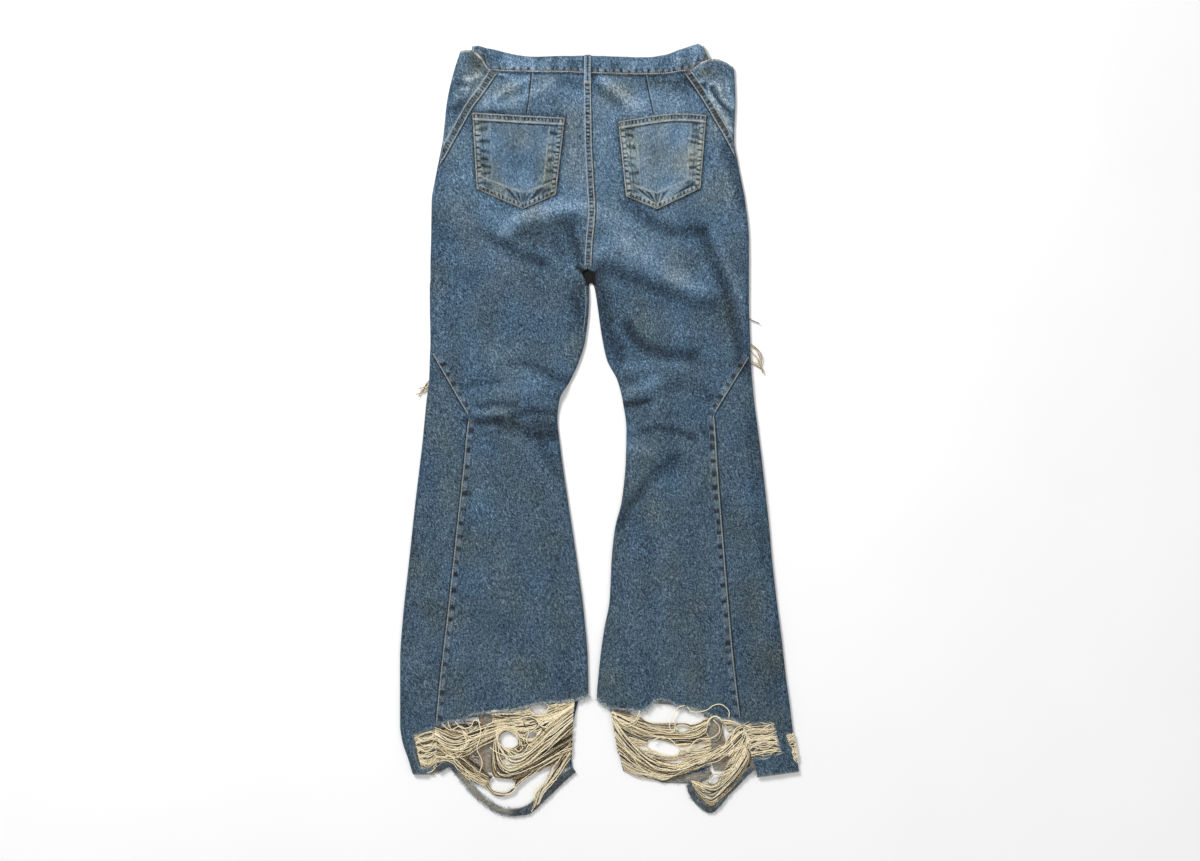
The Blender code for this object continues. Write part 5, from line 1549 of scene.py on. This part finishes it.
def side_belt_loop(leg, finish):
    """A belt loop on the waistband's folded end, seen on its edge."""
    if leg.side < 0:
        end, shown, highest, lean = WAISTBAND[0], 27.0, 3.9, 0.0
    else:
        end, highest, lean = WAISTBAND[-1], 5.8, RIGHT_END_LEAN / 2
        shown = end.bottom - end.top
    share, height = np.meshgrid(np.linspace(0, 1, 34), np.linspace(2.2, highest, 7), indexing="ij")
    down = end.top + shown * share
    across = end.across + leg.side * (WAISTBAND_THICK / 2 + 1.5)
    across = across + lean * (2 * share - 1) + 0.3 * np.sin(down / 4)
    tone = 0.9 - 0.7 * near_line(height - 4.0, 0.4) + 0.2 * TONE_WAVES(down * 2, height * 9)
    marks = dye_and_shade_marks(tone, 0.15, 0.45 * ease((height - 5.0) / 0.5))
    middles = place(across, down, height)
    return shell(f"belt_loop_{leg.name}_cloth", middles, LOOP_THICK, leg.side, finish, marks)


# ---- Seams --------------------------------------------------------------------------------------


def beside(path, aside):
    """The places that far to the right of each point of a path that goes down."""
    run = np.gradient(path, axis=0)
    run /= np.linalg.norm(run, axis=1, keepdims=True)
    return path[:, :1] + run[:, 1:2] * aside, path[:, 1:2] - run[:, :1] * aside


def seam_leg(seam):
    """The leg on whose side a seam ends."""
    return LEFT if seam.line[-1][0] < 0 else RIGHT


def seam_strip(seam, finish):
    """A felled seam, with its puckers, its worn ridges and the shadow along it."""
    length = line_length(np.array(seam.line, float))
    path = smooth_line(seam.line, int(length / 1.3))
    along = np.linspace(0, length, len(path))[:, None]
    aside = np.linspace(seam.low, seam.high, int((seam.high - seam.low) / 0.9))[None, :]
    across, down = beside(path, aside)
    leg = seam_leg(seam)
    if seam.name != "seam_centre":
        limit = leg.outer(down) - 2.6 * leg.side
        across = np.where(across * leg.side > limit * leg.side, limit + 0.05 * (across - limit), across)
    along = np.broadcast_to(along, across.shape)
    sign = 1 if seam.far > seam.near else -1
    near, far = seam.near * sign, seam.far * sign
    puckers = ticks(along, aside * sign + 0 * along, seam.spacing, seam.half, (near, far), seam.seed)
    ends = ease(along / 5) * ease((length - along) / 5)
    edge = np.minimum(aside - seam.low, seam.high - aside)
    height = upper_height(across, down) + (CLOTH + STRIP_THICK) / 2 + 0.05
    height = height - 1.0 * ease((2.0 - edge) / 2.0) - 0.5 * puckers - 0.6 * (1 - ends)
    tone, stain = cloth_marks(across, down)
    uneven = 0.85 + 0.15 * RAGGED(across * 1.3, down * 1.3)
    dark, pale, pale_line = (3.6, 0.1, 0.4) if seam.spacing[1] < PUCKERED_CLOSELY else (2.6, 0.06, 0.35)
    between_lines = ease((aside * sign - near) / 1.0) * ease((far - aside * sign) / 1.0)
    tone = tone - dark * puckers * ends + (-0.5 if "hip" in seam.name else 0.25) * between_lines
    worn = pale * between_lines * (1 - puckers) * uneven
    for line in seam.pale:
        worn = worn + pale_line * near_line(aside - line, 0.7) * uneven * ends
    for line in seam.dark:
        tone = tone - 2.2 * near_line(aside - line, 1.0) * ends
    return upper_strip(seam.name, across, down, height, finish, dye_and_shade_marks(tone, stain, worn))


def upper_strip(name, across, down, height, finish, marks):
    """A thin strip whose right side faces up, whichever way its grid runs."""
    middles = place(across, down, height)
    normal = np.cross(middles[10, 6] - middles[10, 5], middles[11, 5] - middles[10, 5])
    return shell(name, middles, STRIP_THICK, 1 if normal[2] > 0 else -1, finish, marks)


def dart(name, line, finish):
    """A sewn dart: a low ridge with a dark groove beside it."""
    path = smooth_line(line, 56)
    aside = np.linspace(-3.6, 2.6, 12)[None, :]
    across, down = beside(path, aside)
    along = np.broadcast_to(np.linspace(0, 1, 56)[:, None], across.shape)
    height = upper_height(across, down) + (CLOTH + STRIP_THICK) / 2
    height = height - 0.9 * ease((np.abs(aside + 0.5) - 1.4) / 1.3) - 0.3 * ease((0.06 - along) / 0.06)
    tone, stain = cloth_marks(across, down)
    tone = tone + 0.6 * near_line(aside - 1.1, 0.9) - 3.0 * near_line(aside + 0.8, 1.0)
    marks = dye_and_shade_marks(tone, stain, 0.2 * near_line(aside - 1.1, 0.8))
    return upper_strip(name, across, down, height, finish, marks)


def add_stitches(threads, across, down, height, tint, rng, gap=STITCH_GAP, radius=STITCH_RADIUS):
    """A row of stitches along a line in millimetres: each dives into the cloth at its ends."""
    line = np.column_stack([across, down, *(np.broadcast_to(x, np.shape(across)) for x in (height, tint))])
    count = max(int(line_length(line[:, :2]) / (STITCH_LENGTH + gap)), 1)
    steps = 5
    fine = even_line(line, count * steps + 1)
    stitches = np.stack([fine[k * steps:k * steps + steps] for k in range(count)])
    stitches[..., 2] += np.array([-0.35, 0.05, 0.12, 0.05, -0.35]) + rng.uniform(-0.06, 0.06, (count, 1))
    stitches[..., 0] += rng.uniform(-0.12, 0.12, (count, 1))
    tints = np.clip(stitches[:, 2, 3] + rng.uniform(-0.15, 0.15, count), 0, 1)
    wide = radius * np.array([0.6, 1.0, 1.05, 1.0, 0.6])[None, :]
    threads.add_tubes(stitches[..., :3], wide, tints)


def add_bartack(threads, bartack, rng):
    """A short dense zigzag of thread."""
    (ax, ay), (bx, by) = bartack.start, bartack.end
    count = 14
    share = np.linspace(0, 1, count)
    run = np.array([bx - ax, by - ay]) / np.hypot(bx - ax, by - ay)
    zigzag = np.where(np.arange(count) % 2 == 0, 0.5, -0.5) * bartack.width
    across = ax + (bx - ax) * share - run[1] * zigzag
    down = ay + (by - ay) * share + run[0] * zigzag
    height = upper_height(across, down) + 2.0 + rng.uniform(-0.15, 0.15, count)
    threads.add_tubes(np.stack([across, down, height], axis=1)[None], 0.5, [bartack.tint], sides=5)


def all_stitches(pockets, finish):
    """Every row of stitches and every bartack, as one piece."""
    rng = np.random.default_rng(STITCH_SEED)
    threads = Joined("stitches", finish)
    for pocket in pockets:
        for across, down, height, tint in pocket.stitch_lines():
            add_stitches(threads, across, down, height, tint, rng)
    for seam in SEAMS:
        for line in seam.pale:
            across, down = beside(smooth_line(seam.line, 200), line)
            leg = seam_leg(seam)
            on_cloth = (leg.outer(down) - across) * leg.side > 2.6
            across, down = across[on_cloth], down[on_cloth]
            height = upper_height(across, down) + CLOTH / 2 + STRIP_THICK + 0.25
            tint = 0.3 if seam.name == "seam_centre" and line > 0 else 0.0
            add_stitches(threads, across, down, height, tint, rng, gap=1.4, radius=0.36)
    across = np.linspace(-146, 152, 200)
    down = Curve(WAISTBAND, "across", "bottom")(across) - 1.1
    height = BAND_HEIGHT + BAND_RISE * bell(np.abs(across) / 75) + WAISTBAND_THICK / 2 + 0.1
    add_stitches(threads, across, down, height, 0.4, rng, gap=0.3, radius=0.65)
    for offset in (-2.7, 2.7):
        down = np.linspace(20, 61, 60)
        height = LOOP_HEIGHT + LOOP_THICK / 2 + 0.1
        add_stitches(threads, np.full(60, offset + LOOP_ACROSS), down, height, 0.1, rng)
    down = np.linspace(376, 446, 60)
    across = LEFT.inner(down) - 4.2
    height = upper_height(across, down) + CLOTH / 2
    add_stitches(threads, across, down, height, 0.35, rng, gap=0.4, radius=0.4)
    for row in STITCH_ROWS:
        across, down = (np.linspace(start, end, 60) for start, end in zip(row.start, row.end))
        add_stitches(threads, across, down, row.height, row.tint, rng, gap=row.gap, radius=row.radius)
    for bartack in BARTACKS:
        add_bartack(threads, bartack, rng)
    return threads.finished()


# ---- Yarns, fringes and hem tapes ---------------------------------------------------------------


def parted(lines):
    """Yarns pushed off the holes that they part round, each to the side on which it lies."""
    margin = 7.0
    for hole in HOLES:
        x = lines[..., 0] - hole.across
        y = lines[..., 1] - hole.down - hole.lean * x
        near = np.abs(x) < hole.wide * 1.05
        share = np.clip(1 - (x / (hole.wide * 1.05)) ** 2, 0, 1) ** 0.5
        reach = hole.long * share
        counted = np.maximum(near.sum(axis=1), 1)
        side = np.where((y * near).sum(axis=1) / counted >= 0, 1.0, -1.0)[:, None]
        off = y * side
        pushed = reach + np.maximum(off + reach, 0.0) / (2 * reach + margin) * margin
        moved = np.where(near & (off < reach + margin), np.maximum(pushed, off), off)
        lines[..., 1] += (moved - off) * side
    return lines


def bundle_lines(bundle, rng):
    """The lines of a bundle's yarns, in millimetres."""
    longest = max(line_length(np.array(bundle.first, float)), line_length(np.array(bundle.last, float)))
    steps = max(int(longest / YARN_STEP), 10)
    first, last = smooth_line(bundle.first, steps), smooth_line(bundle.last, steps)
    t = np.linspace(0, 1, steps)[None, :]
    count = bundle.count
    share = (np.arange(count) + rng.uniform(-0.6, 0.6, count))[:, None] / max(count - 1, 1)
    share = share + rng.uniform(-0.2, 0.2, (count, 1)) * np.sin(pi * t)
    gathered = min(bundle.stray / 3.5, 1.2)
    for clumps in (count / 5, count / 9):
        swing = rng.uniform(0, 2 * pi) + rng.uniform(2, 5) * t
        pull = 0.75 * gathered / (2 * pi * clumps)
        share = share + pull * np.sin(2 * pi * clumps * share + swing) * np.sin(pi * t) ** 0.5
    lines = first[None] + (last - first)[None] * share[..., None]
    loose = np.minimum(1.0, 6 * np.minimum(t, 1 - t))
    for waves in (1, 2, 3.5, 6):
        size = bundle.stray / waves**0.8
        for k in (0, 1):
            phase, amount = rng.uniform(0, 2 * pi, (count, 1)), rng.normal(0, 0.5, (count, 1))
            wave = loose * size * amount * np.sin(2 * pi * waves * t + phase)
            lines[..., k] += wave * (0.5 if k == 0 else 1)
    walked = longest * t * rng.uniform(0.8, 1.3, (count, 1)) + rng.uniform(0, CRIMP, (count, 1))
    crimp = rng.uniform(0.2, 0.75, (count, 1)) * (0.6 + 0.4 * np.sin(walked / 9))
    lines[..., 1] += loose * crimp * np.sin(2 * pi * walked / CRIMP)
    height = rng.uniform(bundle.low, bundle.high, (count, 1))
    waves, phase = rng.uniform(0.5, 2, (count, 1)), rng.uniform(0, 6, (count, 1))
    height = height + 0.5 * np.sin(2 * pi * waves * t + phase)
    height = np.maximum(height, YARN_RADIUS)
    return parted(np.concatenate([lines, height[..., None]], axis=-1))


def yarn_piece(torn, finish):
    """All the bare yarns of one torn place."""
    rng = np.random.default_rng(torn.seed)
    yarns = Joined(f"{torn.node}_{torn.ending}", finish)
    for bundle in torn.bundles:
        lines = bundle_lines(bundle, rng)
        wide = YARN_RADIUS * rng.uniform(0.6, 1.35, (len(lines), 1))
        # Painted shade: lower yarns get darker tints, some get dark at random, and some near-black yarns
        # laid lower stand for the shadowed gaps between them.
        rise = (lines[..., 2].mean(axis=1) - bundle.low) / (bundle.high - bundle.low) - 0.5
        painted_shadow = 0.6 * (rng.random(len(lines)) < 0.22)
        tints = bundle.tint + 0.14 + 1.0 * rise + rng.uniform(-0.25, 0.25, len(lines)) - painted_shadow
        is_shadow_yarn = (rng.random(len(lines)) < 0.16) & (bundle.stray > 1.8)
        lines[is_shadow_yarn, :, 2] = np.maximum(lines[is_shadow_yarn, :, 2] - 0.5, YARN_RADIUS)
        tints = np.where(is_shadow_yarn, -0.2, np.clip(tints, -0.1, 1.3))
        yarns.add_tubes(lines, wide, tints, sides=3)
    for one in torn.loose:
        path = smooth_line(one.path, 26)
        height = one.height + 0.4 * np.sin(np.linspace(0, 9, 26) + torn.seed)
        yarns.add_tubes(np.column_stack([path, height])[None], YARN_RADIUS, [one.tint], sides=5)
    return yarns.finished()


def fringe(hairs, edge, heading, height_of, rng, spacing, longest, tint):
    """Frayed ends along an edge, which point the way `heading` gives, left and right of it at random."""
    count = int(line_length(edge) / spacing)
    base = even_line(edge, count)
    base = base + rng.uniform(-spacing, spacing, (count, 2)) * 0.4
    angle = heading + rng.normal(0, 0.55, count)
    length = longest * rng.uniform(0.25, 1.0, count) ** 1.5
    t = np.linspace(-0.25, 1, 5)[None, :]
    bend = rng.normal(0, 0.9, (count, 1)) * np.maximum(t, 0)
    across = base[:, :1] + length[:, None] * t * np.cos(angle[:, None] + bend)
    down = base[:, 1:] + length[:, None] * t * np.sin(angle[:, None] + bend)
    height = height_of(base[:, 0], base[:, 1])[:, None] + rng.uniform(-0.5, 0.9, (count, 1)) + 0 * t
    radius = HAIR_RADIUS * rng.uniform(0.7, 1.4, (count, 1)) * (1 - 0.6 * np.maximum(t, 0))
    tints = np.clip(tint + rng.uniform(-0.35, 0.35, count), 0, 1)
    hairs.add_tubes(np.stack([across, down, np.maximum(height, 0.5)], axis=-1), radius, tints, sides=3)


def left_tape_look(t):
    """Bare inside at first, then the dark right side."""
    inside = ease((t - 0.12) / 0.06) * (1 - ease((t - 0.5) / 0.1))
    return -1.1 + 1.0 * inside, inside, 1.0 - 0.35 * inside


# 'look' gives, from the share of the way along, the tone, how far the wrong side shows and how much of
# the width there is.
Tape = namedtuple("Tape", "node nodes width thick seed lumpy look")
TAPES = table(
    Tape,
    ("hem_tape_left", LEFT_HEM_TAPE, 13.0, 4.4, 111, 0.16, left_tape_look),
    ("hem_tape_right", RIGHT_HEM_TAPE, 12.0, 4.6, 112, 0.3, lambda t: (-0.7, 0.1, 0.9)),
    ("front_hem_right", FRONT_HEM_RIGHT, 17.0, 1.8, 113, 0.08, lambda t: (-0.2, 1.0, 1.0)),
)


def hem_tape(tape, finish):
    """A crumpled strip of hem: a flattened tube."""
    rng = np.random.default_rng(tape.seed)
    wobble = Waves(tape.seed, 9, 40, 8)
    path = smooth_line(tape.nodes, int(line_length(np.array(tape.nodes, float)[:, :2]) / 1.6))
    count, sides = len(path), 20
    t = np.linspace(0, 1, count)[:, None]
    angle = 2 * pi * np.arange(sides)[None, :] / sides
    walked = t * line_length(path[:, :2])
    base, inside, share = tape.look(t)
    half = share * tape.width / 2 * (1 + 0.3 * tape.lumpy * wobble(walked, 0 * walked))
    half = half * (0.75 + 0.25 * ease(np.minimum(t, 1 - t) * 12))
    out = np.sign(np.cos(angle)) * np.abs(np.cos(angle)) ** 0.8
    groove = 0.35 * near_line(out - 0.25, 0.16) + 0.25 * near_line(out + 0.55, 0.14)
    lump = 1 + tape.lumpy * wobble(walked, 20 * np.cos(angle)) - groove
    up = np.sin(angle) * tape.thick / 2 * np.where(np.sin(angle) > -0.3, np.maximum(lump, 0.4), 1.0)
    across, down = beside(path[:, :2], -half * out)
    points = place(across, down, np.maximum(path[:, 2:3] + up, 0.0)).reshape(-1, 3)
    index = np.arange(count * sides).reshape(count, sides)
    turned = np.roll(index, -1, axis=1)
    walls = np.stack([index[:-1], index[1:], turned[1:], turned[:-1]], axis=-1).reshape(-1, 4)
    faces = walls.tolist() + [index[0].tolist(), index[-1, ::-1].tolist()]
    worn = 0.4 * np.abs(np.cos(angle)) ** 8 * (1 - inside) + 0.12 * rng.random((count, sides))
    tone = base + 0.35 * wobble(walked, 30 * np.sin(angle)) - 3.0 * groove * (0.4 + 0.6 * inside)
    marks = dye_and_shade_marks(tone, 0.2, worn, inside=inside * ease((np.sin(angle) + 0.5) * 3))
    marks = {key: np.broadcast_to(value, (count, sides)).ravel() for key, value in marks.items()}
    return add_mesh(f"{tape.node}_cloth", points, faces, finish, marks, sharp=70)


def torn_edge_fringe(leg, rng, finish):
    """The frayed ends along the torn edge of one leg's back and round its side window."""
    hairs = Joined(f"fringe_{leg.name}", finish)
    edge = np.array(leg.torn_edge, float)
    for turn, spacing, longest, tint in ((0, 0.7, 7.0, 0.5), (-1.3, 1.3, 9.0, 0.65), (1.3, 1.3, 9.0, 0.65)):
        fringe(hairs, edge, pi / 2 + turn, leg.lift, rng, spacing, longest, tint)
    ring = np.array(leg.windows[0] + leg.windows[0][:1], float)
    middle = ring[:-1].mean(axis=0)
    for start, end in zip(ring[:-1], ring[1:]):
        heading = atan2(*(middle - (start + end) / 2)[::-1])
        fringe(hairs, np.array([start, end]), heading, leg.lift, rng, 1.3, 4.0, 0.35)
    return hairs.finished()


def tapes_fringe(rng, finish):
    """The frayed ends along both edges of each hem tape, and where the front's hem tore off."""
    hairs = Joined("fringe_tapes", finish)
    for tape in TAPES:
        middle_line = smooth_line(tape.nodes, 120)[:, :2]
        for sign in (-1, 1):
            edge = np.hstack(beside(middle_line, -5.4 * sign))
            fringe(hairs, edge, sign * pi / 2, lambda a, d: 2.4 + 0 * a, rng, 1.2, 5.0, 0.5)
    edge = np.array(FRONT_HEM_TEAR, float)
    fringe(hairs, edge, -pi / 2, lambda a, d: 1.8 + 0 * a, rng, 0.6, 6.0, 0.1)
    return hairs.finished()


# ---- The jeans ----------------------------------------------------------------------------------


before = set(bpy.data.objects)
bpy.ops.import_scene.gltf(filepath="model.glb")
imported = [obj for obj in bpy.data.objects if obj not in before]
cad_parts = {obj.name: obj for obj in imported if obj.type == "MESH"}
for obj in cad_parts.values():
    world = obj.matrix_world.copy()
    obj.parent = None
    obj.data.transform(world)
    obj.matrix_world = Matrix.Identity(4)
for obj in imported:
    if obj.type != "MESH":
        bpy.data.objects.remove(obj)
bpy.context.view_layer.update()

denim = denim_finish("denim_cloth", level=0.33)
pocket_denim = denim_finish("pocket_cloth", level=0.36, grain_weight=0.75)
yarn = yarn_finish()
fray = fray_finish()
thread = thread_finish()
button_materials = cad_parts["button"].data.materials
button_materials.clear()
button_materials.append(metal_finish())

pockets = [
    Pocket(LEFT, LEFT_POCKET, LEFT_POCKET_BOW, tone=0.6, stain=0.35, patches=LEFT_POCKET_PATCHES),
    Pocket(RIGHT, RIGHT_POCKET, RIGHT_POCKET_BOW, tone=1.05, stain=0.5, patches=RIGHT_POCKET_PATCHES),
]

# The pieces that stand for the solids of cloth, by node.
cloth = {f"back_{leg.name}": back_panel(leg, denim) for leg in LEGS}
cloth |= {f"front_{leg.name}": front_panel(leg, denim) for leg in LEGS}
cloth |= {"waistband": waistband(denim), "belt_loop_back": back_belt_loop(denim)}
cloth |= {f"belt_loop_{leg.name}": side_belt_loop(leg, denim) for leg in LEGS}
cloth |= {"fly_facing": fly_facing(denim)}
cloth |= {tape.node: hem_tape(tape, denim) for tape in TAPES}
pocket_cloth = {
    f"pocket_{pocket.leg.name}": pocket.build(pocket_denim, seed)
    for pocket, seed in zip(pockets, POCKET_SEEDS)
}
yarns = {torn.node: yarn_piece(torn, yarn) for torn in YARN_PLACES}

# The pieces that are only seen, by name.
trim = {seam.name: seam_strip(seam, denim) for seam in SEAMS}
trim |= {"crotch": crotch_seam(denim)}
trim |= {"dart_left": dart("dart_left", LEFT_DART, denim)}
trim |= {"dart_right": dart("dart_right", RIGHT_DART, denim)}
fringe_rng = np.random.default_rng(FRINGE_SEED)
loose_ends = {f"fringe_{leg.name}": torn_edge_fringe(leg, fringe_rng, fray) for leg in LEGS}
loose_ends |= {"fringe_tapes": tapes_fringe(fringe_rng, fray), "stitches": all_stitches(pockets, thread)}

# ---- Hiding the replaced CAD parts --------------------------------------------------------------

for slot, replacing in (("denim", cloth), ("pocket_denim", pocket_cloth), ("yarn", yarns)):
    for node, piece in replacing.items():
        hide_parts(node)


# ---- Floor, light and camera --------------------------------------------------------------------

bpy.ops.mesh.primitive_plane_add(size=8, location=(0, 0, -0.0006))
floor = bpy.context.object
floor.name = "floor"
floor.data.materials.append(floor_finish())


def area_light(name, place_at, size, power):
    """A round light that shines on the middle of the floor."""
    light = bpy.data.lights.new(name, "AREA")
    light.shape = "DISK"
    light.size = size
    light.energy = power
    made = bpy.data.objects.new(name, light)
    made.location = place_at
    x, y, z = place_at
    tilt = float(np.arccos(z / np.linalg.norm(place_at)))
    made.rotation_euler = (tilt, 0.0, float(np.arctan2(-x, y)) + pi)
    bpy.context.scene.collection.objects.link(made)


area_light("key", (-1.5, 1.9, 1.9), size=1.0, power=88.0)
area_light("fill", (1.6, -1.2, 2.2), size=1.8, power=12.0)

scene = bpy.context.scene
scene.world = bpy.data.worlds.new("studio")
scene.world.use_nodes = True
background = scene.world.node_tree.nodes["Background"]
background.inputs["Color"].default_value = (1.0, 1.0, 1.0, 1.0)
background.inputs["Strength"].default_value = 0.5
scene.view_settings.view_transform = "Standard"
scene.view_settings.look = "None"

SEEN_WIDTH = 1.86
LENS = 50.0
SENSOR = 36.0
CLOTH_LEVEL = 0.005
camera_data = bpy.data.cameras.new("camera")
camera_data.lens = LENS
camera_data.sensor_width = SENSOR
camera = bpy.data.objects.new("camera", camera_data)
camera.location = (0.0008, -0.0003, SEEN_WIDTH * LENS / SENSOR + CLOTH_LEVEL)
scene.collection.objects.link(camera)
scene.camera = camera
